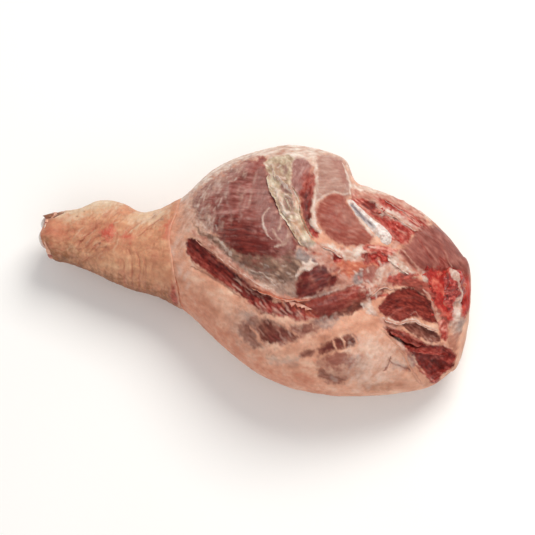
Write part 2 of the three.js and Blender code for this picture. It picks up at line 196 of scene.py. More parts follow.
@dataclass(frozen=True)
class Line:
    """A smooth line over the cut face, through [x, q] pairs."""

    pairs: Pairs
    closed: bool = False

    def points(self) -> np.ndarray:
        """Points close together along the line."""
        rows = np.array(self.pairs, float)
        first, last, step = 0, len(rows) - 1, 1 / 5
        if self.closed:
            rows = np.concatenate([rows[-2:], rows, rows[:3]])
            first, last = 2, len(rows) - 3
        return catmull_rom(rows, np.arange(first, last + 1e-9, step))

    def along(self, x: np.ndarray, q: np.ndarray, reach: float) -> tuple[np.ndarray, np.ndarray]:
        """Distance from each place to the line, and how far along it that is.

        Args:
            x: Places along the leg.
            q: Places across the face.
            reach: Distances past this are not worked out, and come back as reach.

        Returns:
            The distances, and the shares of the line from 0 at its start to 1 at its end.
        """
        line = self.points()
        distance, share = np.full(len(x), float(reach)), np.zeros(len(x))
        low, high = line.min(0) - reach, line.max(0) + reach
        near = np.flatnonzero((x > low[0]) & (x < high[0]) & (q > low[1]) & (q < high[1]))
        here = np.stack([x[near], q[near]], axis=1)
        best, part = np.full(len(near), reach**2), np.zeros(len(near))
        for i in range(len(line) - 1):
            step = line[i + 1] - line[i]
            t = np.clip((here - line[i]) @ step / max(step @ step, 1e-9), 0.0, 1.0)
            away = ((here - line[i] - t[:, None] * step) ** 2).sum(1)
            closer = away < best
            best[closer], part[closer] = away[closer], (i + t[closer]) / (len(line) - 1)
        distance[near], share[near] = np.sqrt(best), part
        return distance, share

    def depth(self, x: np.ndarray, q: np.ndarray, reach: float) -> np.ndarray:
        """How far inside a closed line each place is, below zero outside, from -reach to reach."""
        line = self.points()
        distance, _ = self.along(x, q, reach)
        inside = np.zeros(len(x), bool)
        low, high = line.min(0), line.max(0)
        near = np.flatnonzero((x > low[0]) & (x < high[0]) & (q > low[1]) & (q < high[1]))
        for (ax, aq), (bx, bq) in zip(line[:-1], line[1:]):
            if aq == bq:
                continue
            crossed = (aq > q[near]) != (bq > q[near])
            inside[near] ^= crossed & (x[near] < ax + (q[near] - aq) / (bq - aq) * (bx - ax))
        return np.where(inside, distance, -distance)


# ---------------------------------------------------------------- what the surface is made of


@dataclass(frozen=True)
class Look:
    """How one kind of tissue looks: three tones and the streaks that mix them, sizes in millimetres."""

    dark: str
    mid: str
    light: str
    across: float = 5.0  # width of its streaks
    along: float = 14.0  # their length
    contrast: float = 1.0
    lean: float = 0.0  # 1 for muscle fibres, 0 for fat
    wet: float = 0.4
    lump: float = 0.0  # height of its lumps
    lump_size: float = 8.0
    crease: float = 0.0  # height of its creases
    crease_size: float = 9.0

    def tone(self, blend: np.ndarray) -> np.ndarray:
        """Linear colours for blends from -1, dark, to 1, light."""
        dark, mid, light = linear(self.dark), linear(self.mid), linear(self.light)
        t = np.clip(blend, -1.0, 1.0)[:, None]
        return np.where(t < 0, mid + (mid - dark) * t, mid + (light - mid) * t)


class Tissue(Enum):
    """The kinds of tissue that show on the leg."""

    FLANK_FAT = Look("#b4745a", "#dba187", "#efcbb3", 14, 30, 0.8, 0.0, 0.4, 0.7, 13, 0.4, 22)
    OUTER_FAT = Look("#cc9a82", "#dcb39c", "#ebcfbd", 18, 40, 1.0, 0.0, 0.35, 0.8, 20, 0.6, 26)
    WARM_FAT = Look("#b1664a", "#cd8263", "#e0a788", 6, 16, 1.0, 0.1, 0.45, 0.6, 8, 0.4, 12)
    ORANGE_FAT = Look("#a74c34", "#c1664a", "#da9274", 4, 8, 1.2, 0.1, 0.55, 0.9, 5)
    CREAM_FAT = Look("#b98c7a", "#d6bcae", "#ecdfd5", 5, 14, 1.2, 0.0, 0.4, 0.7, 7, 0.4, 8)
    PINK_FILM = Look("#a66857", "#c28b7a", "#dab2a2", 5, 12, 1.2, 0.1, 0.45, 0.5, 6)
    MOTTLED_FILM = Look("#977062", "#bd998a", "#dcc4b8", 3.5, 9, 1.2, 0.1, 0.4, 0.5, 5)
    SILVERSKIN = Look("#553a30", "#79584a", "#a78571", 4.5, 22, 1.1, 0.1, 0.6, 0.4, 7, 1.3, 11)
    MAUVE_FILM = Look("#75504b", "#90665f", "#b08980", 4, 18, 1.1, 0.5, 0.5, 0.2, 6)
    BLUE_FILM = Look("#675c5c", "#877977", "#aa9a95", 4, 9, 1.2, 0.0, 0.6, 0.5, 6)
    CREPE_FAT = Look("#93765f", "#c0a88f", "#e8dcc8", 5, 12, 1.2, 0.0, 0.45, 1.6, 9, 1.0, 13)
    VEILED_LEAN = Look("#6f362f", "#90514a", "#b5827a", 4.5, 34, 1.3, 0.9, 0.5, 0.4, 12)
    MAROON_LEAN = Look("#491313", "#6b241f", "#8a4037", 2.8, 24, 1.3, 1.0, 0.55, 0.3, 8)
    # dark red lean; where it lies in the slot, the groove, the holes and the torn corner it is also painted
    # shade
    DARK_LEAN_AND_SHADE = Look("#3d0a08", "#641712", "#8c3328", 2.6, 26, 1.3, 1.0, 0.6, 0.5, 7)
    PINK_LEAN = Look("#9c6e60", "#b2877a", "#c8a89b", 2.4, 30, 0.8, 0.4, 0.4, 0.2, 14)
    ROSE_LEAN = Look("#7f352b", "#9c5245", "#ba7a6b", 3.0, 12, 0.9, 0.45, 0.45, 0.25, 10)
    DUSK_LEAN = Look("#855650", "#9f6f68", "#bb918a", 3, 24, 1.0, 0.5, 0.45, 0.3, 9)
    CUT_LEAN = Look("#72211a", "#933c32", "#b5675b", 2.6, 18, 1.3, 1.0, 0.6, 0.6, 6)
    RUMP_LEAN = Look("#80241d", "#b34b3f", "#dc988a", 3.4, 24, 1.5, 0.8, 0.6, 1.1, 7, 1.3, 7)
    SMOOTH_LEAN = Look("#73362e", "#914f46", "#b07265", 4.5, 26, 1.0, 0.4, 0.5, 0.4, 12)
    FAN_LEAN = Look("#4f0f0b", "#78251c", "#9e4436", 2.4, 34, 1.3, 1.0, 0.6, 0.4, 6)
    WINDOW_LEAN = Look("#4f2119", "#6c3327", "#8e5142", 3.4, 9, 1.3, 0.7, 0.4, 0.4, 6)
    BEIGE_LEAN = Look("#844838", "#975b4b", "#ae7664", 4, 12, 1.1, 0.6, 0.4, 0.3, 7)
    BROWN_FILM = Look("#5c2b21", "#7b4236", "#9c6657", 3, 12, 1.3, 0.5, 0.5, 0.4, 5)
    TORN_LEAN = Look("#58110e", "#872a22", "#b05348", 3.4, 18, 1.4, 1.0, 0.65, 1.0, 6)
    BLOOD = Look("#6b110d", "#a02c23", "#cb6054", 3, 7, 1.4, 0.6, 0.75, 1.0, 4.5)
    MARROW = Look("#6a110e", "#b43029", "#de7b66", 9, 12, 1.3, 0.0, 0.7, 1.8, 10)
    BROWN_SPOT = Look("#8a4a30", "#a4603f", "#be7f5b", 3, 6, 1.2, 0.0, 0.35)
    # near black: painted shade in gaps, holes, furrows and between fibres
    DARK_GAP = Look("#220302", "#420a06", "#691a14", 3, 12, 1.0, 0.6, 0.6)
    SKIN_LINE = Look("#9c4c38", "#b0624b", "#c48268", 4, 8, 1.0, 0.0, 0.35)
    SKIN_FLUSH = Look("#bb3c30", "#cc5b49", "#da846c", 4, 8, 1.2, 0.0, 0.4)
    SKIN_MARK = Look("#6b4030", "#8a5a44", "#a67a60", 4, 8, 1.0, 0.0, 0.4)
    # pale cream: the skin's own paler tone, made brighter as painted highlight on the heel's top and along
    # wrinkle ridges
    SKIN_CREAM_AND_HIGHLIGHT = Look("#cfaa8a", "#dec0a2", "#ead6bf", 6, 14, 1.0, 0.0, 0.35)
    # olive brown: painted shade on the shank's lower and near side
    SKIN_SHADE = Look("#6c3f22", "#894f2a", "#a76a40", 7, 16, 1.0, 0.0, 0.35)
    SKIN_RIM = Look("#cf9078", "#e0ab93", "#eec6b0", 3, 8, 1.0, 0.0, 0.5, 0.4, 5)


@dataclass(frozen=True)
class Patch:
    """One area of tissue, inside a closed outline of [x, q] pairs."""

    tissue: Tissue
    outline: Pairs
    soft: float = 3.0  # millimetres over which its edge fades
    ragged: float = 1.5  # how far its edge wanders
    grain: float = 0.0  # degrees from the leg's length to its fibres
    cover: float = 1.0
    rise: float = 0.0  # how far it swells out, or sinks below zero
    shoulder: float = 10.0  # width of the round shoulder inside its edge
    thin: float = 0.0  # 0 for a whole layer, 1 for one worn through in streaks


@dataclass(frozen=True)
class Stroke:
    """A line of tissue, a furrow or a welt."""

    tissue: Tissue | None
    line: Pairs
    width: float = 1.5  # half width of what is painted
    rise: float = 0.0
    reach: float = 4.0  # half width of its relief
    ragged: float = 1.0
    cover: float = 0.9
    broken: float = 0.0  # 0 for a whole line, 1 for one in scraps


@dataclass(frozen=True)
class Wisps:
    """Many short strands of one tissue scattered over an area, laid about one way or along a guide."""

    tissue: Tissue
    outline: Pairs
    count: int
    grain: float | Pairs  # degrees from the leg's length, or a line that they run beside
    length: float = 14.0
    width: float = 0.9  # half width of a strand
    cover: float = 0.55
    rise: float = 0.3
    spread: float = 12.0  # degrees by which they differ

    def strands(self, rng: np.random.Generator) -> list[Pairs]:
        """The strands' lines.

        Args:
            rng: Where the chances come from.

        Returns:
            Three [x, q] pairs for each strand.
        """
        area = Line(self.outline, closed=True)
        low, high = area.points().min(0), area.points().max(0)
        spots = rng.uniform(low, high, size=(self.count * 6, 2))
        spots = spots[area.depth(spots[:, 0], spots[:, 1], 1.0) > 0][:self.count]
        if isinstance(self.grain, (int, float)):
            turns = np.full(len(spots), math.radians(self.grain))
        else:
            guide = Line(self.grain).points()
            nearest = np.linalg.norm(spots[:, None] - guide[None, 1:], axis=2).argmin(1)
            step = guide[1:][nearest] - guide[:-1][nearest]
            turns = np.arctan2(step[:, 1], step[:, 0])
        turns += np.radians(rng.normal(0.0, self.spread, len(spots)))
        half = 0.5 * self.length * rng.uniform(0.45, 1.4, len(spots))
        bend = rng.normal(0.0, 0.16, len(spots)) * half
        ahead = np.stack([np.cos(turns), np.sin(turns)], 1)
        aside = np.stack([-ahead[:, 1], ahead[:, 0]], 1)
        return [tuple(map(tuple, (spot - a * h, spot + s * b, spot + a * h)))
                for spot, a, s, h, b in zip(spots, ahead, aside, half, bend)]


Mark = Patch | Stroke | Wisps

# Outlines of muscles and bones, and lines that films, seams and fibres follow.
TOPSIDE: Pairs = ((-92, 84), (-86, 106), (-70, 122), (-50, 137), (-30, 153), (-8, 156), (2, 145), (8, 124),
    (23, 100), (40, 77), (52, 60), (56, 46), (46, 33), (26, 29), (2, 25), (-24, 32), (-46, 45), (-72, 60))
SILVER_RIM: Pairs = ((-80, 41), (-69, 34), (-54, 28), (-40, 20), (-25, 12), (-8, 4), (10, -5), (27, -11),
    (46, -16), (62, -14))
STRIP: Pairs = ((-6, 155), (9, 163), (28, 164), (30, 144), (33, 125), (42, 111), (49, 92), (60, 74),
    (71, 61), (85, 54), (79, 47), (64, 48), (50, 60), (38, 77), (25, 90), (16, 104), (6, 119), (1, 137))
STRIP_LEFT: Pairs = ((-4, 150), (3, 134), (6, 119), (18, 104), (25, 90), (36, 79), (49, 63), (61, 50))
LOBE_UPPER: Pairs = ((59, 169), (74, 175), (87, 174), (96, 164), (103, 148), (108, 132), (107, 121),
    (98, 123), (87, 124), (77, 118), (68, 109), (64, 124), (64, 143))
LOBE_LOWER: Pairs = ((90, 125), (102, 123), (110, 111), (122, 97), (137, 85), (146, 76), (140, 65),
    (123, 60), (107, 59), (94, 64), (83, 73), (73, 84), (69, 99), (73, 113), (80, 120))
LOBE_SEAM: Pairs = ((68, 104), (71, 114), (80, 122), (90, 126), (100, 125), (107, 128))
RUMP: Pairs = ((112, 133), (128, 132), (146, 133), (170, 132), (193, 123), (211, 109), (226, 93), (225, 84),
    (210, 90), (195, 85), (191, 74), (173, 71), (160, 87), (145, 98), (125, 113), (111, 119))
RUMP_GRAIN: Pairs = ((115, 128), (142, 122), (173, 111), (204, 97), (230, 83))
BUTT_ROUND: Pairs = ((182, 62), (193, 77), (203, 95), (226, 106), (262, 100), (288, 84), (300, 58),
    (296, 46), (276, 47), (251, 47), (229, 45), (211, 42), (194, 50))
HIP: Pairs = ((216, 44), (234, 50), (256, 51), (280, 50), (302, 44), (306, 26), (303, 10), (290, 2),
    (280, -8), (268, -20), (258, -22), (242, -10), (233, 8), (224, 28))
FAN: Pairs = ((166, -12), (176, 7), (191, 16), (206, 17), (223, 11), (236, -3), (244, -20), (233, -21),
    (214, -18), (194, -25), (175, -21))
FAN_GRAIN: Pairs = ((165, -5), (179, 8), (196, 15), (215, 14), (232, 5), (243, -15))
SAUSAGE: Pairs = ((74, -23), (81, -14), (95, -7), (114, 1), (127, 9), (142, 15), (164, 20), (160, 11),
    (149, 1), (135, -10), (119, -21), (101, -30), (81, -32))
UNDER_ROUND: Pairs = ((62, 6), (68, 21), (80, 31), (98, 35), (108, 27), (106, 8), (96, -6), (76, -12),
    (63, -12))
MIDDLE: Pairs = ((62, 46), (80, 57), (106, 53), (133, 61), (152, 68), (171, 63), (199, 52), (222, 37),
    (206, 37), (182, 23), (168, 11), (155, -3), (143, 8), (124, 13), (100, 24), (81, 34))
CORNER: Pairs = ((175, -34), (190, -35), (207, -41), (223, -47), (242, -49), (259, -50), (273, -57),
    (275, -66), (270, -80), (260, -86), (256, -98), (246, -98), (242, -93), (228, -78), (215, -64),
    (201, -54), (187, -46))
WINDOW_LEFT: Pairs = ((18, -63), (23, -53), (34, -49), (45, -53), (58, -52), (70, -57), (73, -61),
    (67, -69), (54, -76), (37, -77), (26, -72))
WINDOW_BARS: Pairs = ((98, -74), (103, -66), (115, -60), (127, -54), (139, -50), (145, -57), (138, -65),
    (127, -69), (113, -76), (103, -79))
SKIN_CORNER: Pairs = ((-103, -3), (-98, -17), (-93, -27), (-91, -38))

# What lies on the cut face, lowest first. Most points were picked on the photo, as pixels, and a program
# turned them into these millimetres; the others were given.
FACE: tuple[Mark, ...] = (
    # the broad fat: pale along the far side; towards the near side by the shank it is painted warm and orange
    # as shade
    Patch(Tissue.WARM_FAT, ((-112, -20), (-80, -28), (-50, -52), (-20, -78), (20, -104), (60, -122),
        (110, -136), (60, -190), (-40, -170), (-120, -120)), 44, 9, -30, 0.55),
    Patch(Tissue.ORANGE_FAT, ((-96, -41), (-51, -72), (3, -107), (73, -129), (133, -130), (119, -122),
        (67, -114), (12, -91), (-34, -60), (-67, -37)), 34, 6, -35, 0.35),
    Wisps(Tissue.ORANGE_FAT, ((-100, -30), (-60, -40), (-10, -70), (60, -100), (100, -118), (60, -140),
        (-20, -120), (-80, -80)), 40, -35, 16, 2.2, 0.3, 0.3, 25),
    Patch(Tissue.CREAM_FAT, ((-122, 84), (-104, 92), (-90, 108), (-71, 124), (-50, 139), (-32, 153),
        (-12, 160), (10, 158), (30, 160), (55, 163), (70, 174), (90, 171), (108, 154), (118, 158),
        (100, 200), (0, 205), (-70, 180), (-120, 130)), 9, 4, 20),
    Wisps(Tissue.CREAM_FAT, ((-110, 70), (-96, 96), (-84, 60), (-88, 30), (-70, 6), (-84, -24),
        (-100, -10)), 20, 75, 16, 3.0, 0.35, 0.2, 22),
    Patch(Tissue.MOTTLED_FILM, ((-106, 92), (-92, 108), (-70, 124), (-58, 112), (-68, 92), (-74, 72),
        (-64, 54), (-70, 44), (-90, 44), (-94, 22), (-100, 24), (-104, 52)), 14, 6, 65, 0.45),
    # silverskin below the inner round, and the round itself
    Patch(Tissue.SILVERSKIN, ((-88, 62), (-69, 50), (-40, 46), (0, 34), (40, 38), (60, 36), (84, 31),
        (71, 24), (62, 6), (62, -14), (44, -17), (14, -10), (-14, 4), (-40, 23), (-67, 39)), 3, 2.5, -28),
    Patch(Tissue.VEILED_LEAN, TOPSIDE, 14, 7, 3, rise=9, shoulder=42),
    Patch(Tissue.MOTTLED_FILM, ((-94, 84), (-84, 106), (-58, 128), (-30, 146), (-30, 132), (-54, 116),
        (-68, 96), (-60, 72), (-40, 56), (-60, 48), (-84, 60)), 16, 8, 75, 0.8, thin=0.6),
    Patch(Tissue.CUT_LEAN, ((-29, 147), (-12, 157), (2, 153), (-1, 145), (-21, 136)), 8, 5, 20, 0.6),
    Patch(Tissue.MAUVE_FILM, ((-10, 146), (3, 134), (8, 116), (24, 90), (36, 76), (52, 58), (52, 45),
        (33, 47), (13, 62), (-4, 86), (-15, 121)), 18, 8, 80, 0.8, thin=0.3),
    Patch(Tissue.MAROON_LEAN, ((-58, 65), (-41, 71), (-25, 70), (5, 64), (20, 53), (25, 33), (4, 23),
        (-17, 25), (-35, 40), (-53, 53)), 16, 8, 3, 0.9),
    Patch(Tissue.DARK_LEAN_AND_SHADE, ((-28, 41), (-8, 51), (13, 49), (22, 40), (19, 28), (-4, 23), (-22, 26)), 14, 6,
        3, 0.5),
    Patch(Tissue.SILVERSKIN, ((-56, 37), (-36, 29), (-19, 19), (5, 18), (29, 26), (54, 32), (57, 43),
        (42, 43), (28, 34), (3, 28), (-23, 29), (-43, 39)), 10, 6, -20, 0.7, thin=0.5),
    Stroke(Tissue.MOTTLED_FILM, ((-69, 87), (-68, 72), (-61, 59)), 3, 0.6, 3, 3, 0.5),
    Stroke(Tissue.MOTTLED_FILM, ((-86, 82), (-79, 65), (-66, 48)), 4, 0, 3, 3, 0.5),
    Stroke(Tissue.MAUVE_FILM, ((-49, 114), (-43, 91), (-35, 71)), 2.4, 0.4, 3, 3, 0.5),
    Stroke(Tissue.MAUVE_FILM, ((-31, 111), (-26, 90), (-25, 70)), 2.4, 0.4, 3, 3, 0.5),
    Stroke(Tissue.MAUVE_FILM, ((-63, 104), (-56, 84), (-48, 67)), 2.6, 0.4, 3, 3, 0.4),
    Wisps(Tissue.MOTTLED_FILM, ((-80, 104), (-50, 130), (-20, 146), (-14, 110), (-30, 70), (-50, 54),
        (-76, 66)), 34, 84, 20, 1.8, 0.28, 0.1, 5),
    Wisps(Tissue.MAROON_LEAN, TOPSIDE, 150, 2, 20, 0.8, 0.3, -0.3, 4),
    Wisps(Tissue.MAUVE_FILM, TOPSIDE, 80, 2, 18, 0.8, 0.3, 0.2, 4),
    Wisps(Tissue.CREAM_FAT, ((-84, 96), (-60, 118), (-34, 138), (-44, 110), (-52, 84), (-36, 62), (-56, 54),
        (-80, 66)), 20, 72, 8, 1.0, 0.4, 0.4, 16),
    Stroke(Tissue.CREAM_FAT, ((10, 93), (6, 87), (4, 79), (7, 69), (12, 60), (20, 53)), 1.4, 1.0, 2, 1.2,
        0.6),
    Stroke(Tissue.MOTTLED_FILM, ((26, 85), (28, 75), (26, 66)), 1.7, 0.5, 2, 1, 0.8),
    Stroke(Tissue.MOTTLED_FILM, ((19, 66), (25, 59), (33, 52)), 1.6, 0.5, 2, 1.4, 0.7),
    Stroke(Tissue.MOTTLED_FILM, ((39, 69), (40, 59), (36, 50), (26, 45)), 2.2, 0.8, 2.4, 1.4, 0.8),
    Stroke(Tissue.MAROON_LEAN, ((46, 57), (51, 50), (49, 43)), 2.6, -0.6, 2.4, 1, 0.8),
    # the wrinkled lower part of the silverskin
    Patch(Tissue.MOTTLED_FILM, ((9, -5), (25, 3), (43, 0), (60, 10), (63, -12), (46, -14), (25, -11)), 8, 5,
        -30, 0.6, thin=0.3),
    Patch(Tissue.BLUE_FILM, ((-42, 31), (-22, 21), (0, 14), (21, 15), (15, 6), (-9, 10), (-32, 20)), 8, 5,
        -30, 0.35, thin=0.4),
    Stroke(Tissue.CREAM_FAT, ((-35, 22), (-20, 11), (-3, 4), (16, -4), (35, -10)), 0.9, 0.8, 2, 2, 0.7),
    Stroke(Tissue.CREAM_FAT, ((-2, 10), (10, 11), (20, 7), (31, -1)), 1.0, 0.8, 2, 2, 0.5),
    Stroke(Tissue.BROWN_FILM, ((4, 6), (15, 5), (26, -2)), 1.2, -0.8, 2, 2, 0.6),
    Stroke(Tissue.BROWN_FILM, ((-16, 20), (0, 14), (18, 14), (38, 20)), 1.2, -0.8, 2, 3, 0.4),
    Stroke(Tissue.CREAM_FAT, ((-55, 45), (-40, 37), (-28, 26)), 1.6, 0.6, 2, 3, 0.4),
    Wisps(Tissue.CREAM_FAT, ((-70, 50), (-30, 34), (10, 22), (50, 26), (58, 0), (50, -12), (10, -6),
        (-40, 22)), 26, SILVER_RIM, 14, 1.1, 0.4, 0.6, 16),
    # dark muscle in the slot under the silverskin's torn rim, its red deepened as painted shade
    Patch(Tissue.DARK_LEAN_AND_SHADE, ((-91, 33), (-87, 41), (-72, 36), (-50, 24), (-28, 11), (1, -5), (33, -20),
        (25, -25), (7, -26), (-7, -22), (-27, -13), (-48, -4), (-68, 7), (-84, 18)), 3, 1.6, -30, rise=-3.6,
        shoulder=12),
    Patch(Tissue.CUT_LEAN, ((-86, 25), (-68, 14), (-46, 2), (-28, -7), (-10, -16), (-15, -19), (-35, -10),
        (-58, 1), (-79, 13)), 5, 2, -30, 0.5),
    Wisps(Tissue.CUT_LEAN, ((-80, 36), (-50, 20), (-10, -6), (40, -20), (0, -15), (-40, -2), (-76, 14)), 22,
        -31, 22, 1.2, 0.4, 0.4, 6),
    Wisps(Tissue.PINK_FILM, ((-28, -1), (-12, -6), (13, -14), (29, -19), (19, -24), (-2, -19), (-21, -14)),
        14, -33, 18, 0.9, 0.55, 0.5, 6),
    # muscle between the round and the butt
    Patch(Tissue.WINDOW_LEAN, ((60, 10), (70, 32), (90, 48), (120, 36), (150, 36), (176, 34), (170, 10),
        (150, -12), (122, -30), (92, -42), (50, -40), (20, -40), (10, -28), (40, -22), (60, -18)), 5, 3,
        15),
    Patch(Tissue.BEIGE_LEAN, ((90, 34), (108, 35), (128, 26), (128, 10), (108, 0), (100, 8)), 8, 4, 40,
        0.8),
    Patch(Tissue.MAROON_LEAN, UNDER_ROUND, 4, 3, 24, rise=4, shoulder=12),
    Wisps(Tissue.BEIGE_LEAN, UNDER_ROUND, 16, 78, 11, 1.6, 0.45, 0.4, 14),
    Patch(Tissue.CUT_LEAN, SAUSAGE, 3, 2.5, 20, 0.85, rise=6, shoulder=13),
    Patch(Tissue.MAROON_LEAN, ((74, -20), (88, -12), (107, -5), (120, -11), (124, -19), (103, -27),
        (80, -29)), 7, 4, 20, 0.6, thin=0.3),
    Patch(Tissue.CUT_LEAN, ((128, 5), (142, 13), (153, 12), (147, 0), (133, -9), (122, -8)), 5, 3, 20, 0.6),
    Wisps(Tissue.BEIGE_LEAN, SAUSAGE, 16, 60, 12, 1.7, 0.4, 0.3, 14),
    Patch(Tissue.BLOOD, ((147, 12), (159, 18), (167, 20), (163, 13), (151, 6)), 3, 2, 20, 0.8),
    Patch(Tissue.TORN_LEAN, ((2, -27), (20, -22), (33, -24), (52, -24), (72, -27), (95, -31), (86, -38),
        (66, -40), (46, -40), (28, -38), (12, -34)), 3, 2.5, -35),
    Wisps(Tissue.PINK_FILM, ((2, -28), (40, -24), (84, -30), (80, -39), (40, -40), (12, -35)), 26, -36, 14,
        1.2, 0.55, 0.6, 8),
    Wisps(Tissue.ORANGE_FAT, ((36, -14), (56, -16), (84, -22), (88, -32), (66, -34), (44, -26)), 14, -42,
        12, 1.3, 0.6, 0.8, 10),
    # the crinkled strip with its blue-grey foot, and the dusky muscle beside it
    Patch(Tissue.CREPE_FAT, STRIP, 2.5, 2, -55, rise=2, shoulder=6),
    Patch(Tissue.BEIGE_LEAN, ((1, 150), (9, 153), (16, 141), (26, 132), (16, 129), (7, 135)), 4, 2, -70,
        0.45),
    Patch(Tissue.MAUVE_FILM, ((18, 126), (28, 127), (33, 118), (28, 114), (19, 119)), 3, 2, 80, 0.9,
        rise=-2, shoulder=3),
    Patch(Tissue.MAUVE_FILM, ((27, 111), (35, 111), (42, 92), (34, 91), (27, 102)), 4, 2, 80, 0.75,
        rise=-1.5, shoulder=3),
    Patch(Tissue.MAUVE_FILM, ((16, 150), (21, 150), (25, 139), (20, 137)), 4, 2, 80, 0.6, rise=-1.5,
        shoulder=3),
    Patch(Tissue.CREAM_FAT, ((12, 117), (23, 110), (29, 97), (36, 88), (30, 85), (21, 100)), 4, 2, 80, 0.8,
        rise=1.5, shoulder=4),
    Patch(Tissue.WARM_FAT, ((39, 82), (49, 80), (58, 66), (54, 61), (45, 67)), 5, 2, 80, 0.35),
    Patch(Tissue.BLUE_FILM, ((55, 58), (70, 58), (80, 55), (69, 48), (60, 50)), 3, 2, 60, 0.5),
    Stroke(Tissue.CREAM_FAT, ((7, 135), (16, 131), (25, 124), (35, 116)), 1.8, 3, 3, 1.5, 0.9),
    Stroke(Tissue.CREAM_FAT, ((12, 131), (19, 135), (25, 131)), 1.6, 3, 3, 1.5, 0.9),
    Stroke(Tissue.CREAM_FAT, ((2, 152), (7, 140), (11, 130)), 1.7, 2, 3, 1.5, 0.8),
    Stroke(Tissue.CREAM_FAT, ((8, 122), (17, 117), (26, 114), (36, 110)), 1.2, 2, 3, 1.5, 0.8),
    Stroke(Tissue.PINK_FILM, ((32, 128), (38, 113), (42, 97)), 1.8, 1.6, 3, 1.5, 0.9),
    Stroke(Tissue.CREAM_FAT, ((30, 87), (39, 91), (49, 88)), 2.0, 2, 3, 2, 0.8),
    Stroke(Tissue.CREAM_FAT, ((35, 82), (43, 81), (51, 83)), 1.4, 1.5, 3, 2, 0.7),
    Stroke(Tissue.CREAM_FAT, ((47, 75), (55, 64), (64, 55)), 1.4, 1.5, 3, 2, 0.5),
    Wisps(Tissue.MAUVE_FILM, STRIP, 12, STRIP_LEFT, 9, 1.4, 0.5, -0.8, 30),
    Wisps(Tissue.CREAM_FAT, STRIP, 16, STRIP_LEFT, 10, 1.3, 0.6, 1.0, 30),
    Patch(Tissue.BLUE_FILM, ((53, 43), (66, 48), (84, 50), (94, 46), (88, 37), (71, 32), (57, 33)), 6, 3,
        20, 0.9),
    Patch(Tissue.CREAM_FAT, ((75, 58), (90, 57), (103, 52), (115, 44), (102, 44), (84, 49), (66, 47)), 4, 2,
        0, 0.85),
    Patch(Tissue.DUSK_LEAN, ((29, 160), (48, 163), (53, 147), (55, 134), (50, 117), (42, 113), (33, 125)),
        5, 2, 80, rise=3, shoulder=9),
    Patch(Tissue.CUT_LEAN, ((51, 152), (62, 151), (63, 135), (61, 121), (53, 125), (49, 138)), 6, 3, 80,
        0.6),
    Stroke(Tissue.CREAM_FAT, ((30, 161), (39, 164), (51, 160), (56, 145)), 1.8, 0.8, 3, 2, 0.5, 0.3),
    # red groove between the strip and the lobe
    Patch(Tissue.CUT_LEAN, ((46, 122), (50, 133), (59, 132), (64, 117), (64, 96), (68, 81), (78, 71),
        (71, 63), (63, 72), (52, 91), (47, 109)), 7, 2, 80, 0.95, rise=-2, shoulder=9),
    Patch(Tissue.CUT_LEAN, ((44, 140), (52, 147), (63, 143), (63, 124), (50, 117)), 9, 3, 80, 0.75),
    # the groove's dark core: red lean deepened as painted shade
    Patch(Tissue.DARK_LEAN_AND_SHADE, ((49, 119), (55, 124), (61, 108), (62, 90), (68, 76), (76, 68), (67, 70),
        (57, 85), (50, 101)), 8, 2, 80, 0.95),
    Patch(Tissue.BLOOD, ((66, 73), (75, 74), (78, 68), (73, 63)), 3, 1.5, 80, 0.9),
    # the round lobe: two muscles with a seam
    Patch(Tissue.CREAM_FAT, ((53, 167), (60, 168), (65, 141), (68, 120), (69, 107), (70, 91), (74, 79),
        (81, 72), (74, 73), (66, 83), (64, 98), (63, 116), (61, 137)), 3, 2, 80, 0.85),
    Patch(Tissue.PINK_LEAN, LOBE_UPPER, 7, 2.5, 12, rise=8, shoulder=22),
    Patch(Tissue.ROSE_LEAN, ((79, 172), (93, 170), (103, 148), (103, 137), (95, 143), (84, 158)), 10, 4, 12,
        0.5),
    Patch(Tissue.ROSE_LEAN, LOBE_LOWER, 6, 2, -10, rise=8, shoulder=26),
    Patch(Tissue.PINK_LEAN, ((105, 110), (120, 97), (132, 85), (117, 83), (99, 96), (92, 110)), 12, 5, -10,
        0.3),
    Patch(Tissue.CUT_LEAN, ((74, 97), (88, 104), (105, 89), (116, 73), (104, 66), (85, 76)), 16, 6, -10,
        0.3),
    Wisps(Tissue.PINK_LEAN, LOBE_LOWER, 22, -10, 14, 1.6, 0.25, 0.1, 14),
    Wisps(Tissue.CREAM_FAT, LOBE_UPPER, 22, 8, 16, 1.1, 0.22, 0.2, 8),
    Wisps(Tissue.DUSK_LEAN, LOBE_UPPER, 22, 8, 16, 1.1, 0.3, -0.2, 8),
    # rump behind the lobe
    Stroke(Tissue.CREAM_FAT, ((108, 138), (127, 138), (151, 139), (175, 137), (199, 125), (217, 110)), 7, 0,
        4, 3, 0.85),
    Patch(Tissue.RUMP_LEAN, RUMP, 4, 3, -27, rise=-7, shoulder=14),
    Patch(Tissue.PINK_FILM, ((109, 132), (127, 134), (148, 135), (173, 134), (196, 122), (211, 111),
        (203, 109), (185, 118), (163, 124), (139, 124), (118, 126)), 4, 3, -30, 0.8, rise=3, shoulder=5),
    Patch(Tissue.BLOOD, ((147, 127), (160, 126), (180, 117), (200, 109), (218, 97), (228, 88), (216, 90),
        (195, 101), (173, 111), (156, 119)), 4, 3, -30, 0.85),
    Patch(Tissue.RUMP_LEAN, ((181, 112), (194, 109), (209, 101), (201, 97), (187, 104)), 4, 2, -30, 0.8),
    Patch(Tissue.BLOOD, ((159, 98), (174, 101), (185, 97), (191, 88), (188, 77), (178, 73), (168, 83)), 5,
        3, -30, 0.95),
    Patch(Tissue.RUMP_LEAN, ((178, 88), (191, 91), (194, 82), (184, 81)), 4, 2, -30, 0.8),
    # two sunken holes in the rump, painted as shade: dark lean and near black
    Patch(Tissue.DARK_LEAN_AND_SHADE, ((124, 117), (134, 123), (143, 122), (143, 114), (133, 111)), 5, 2, -30, 0.85,
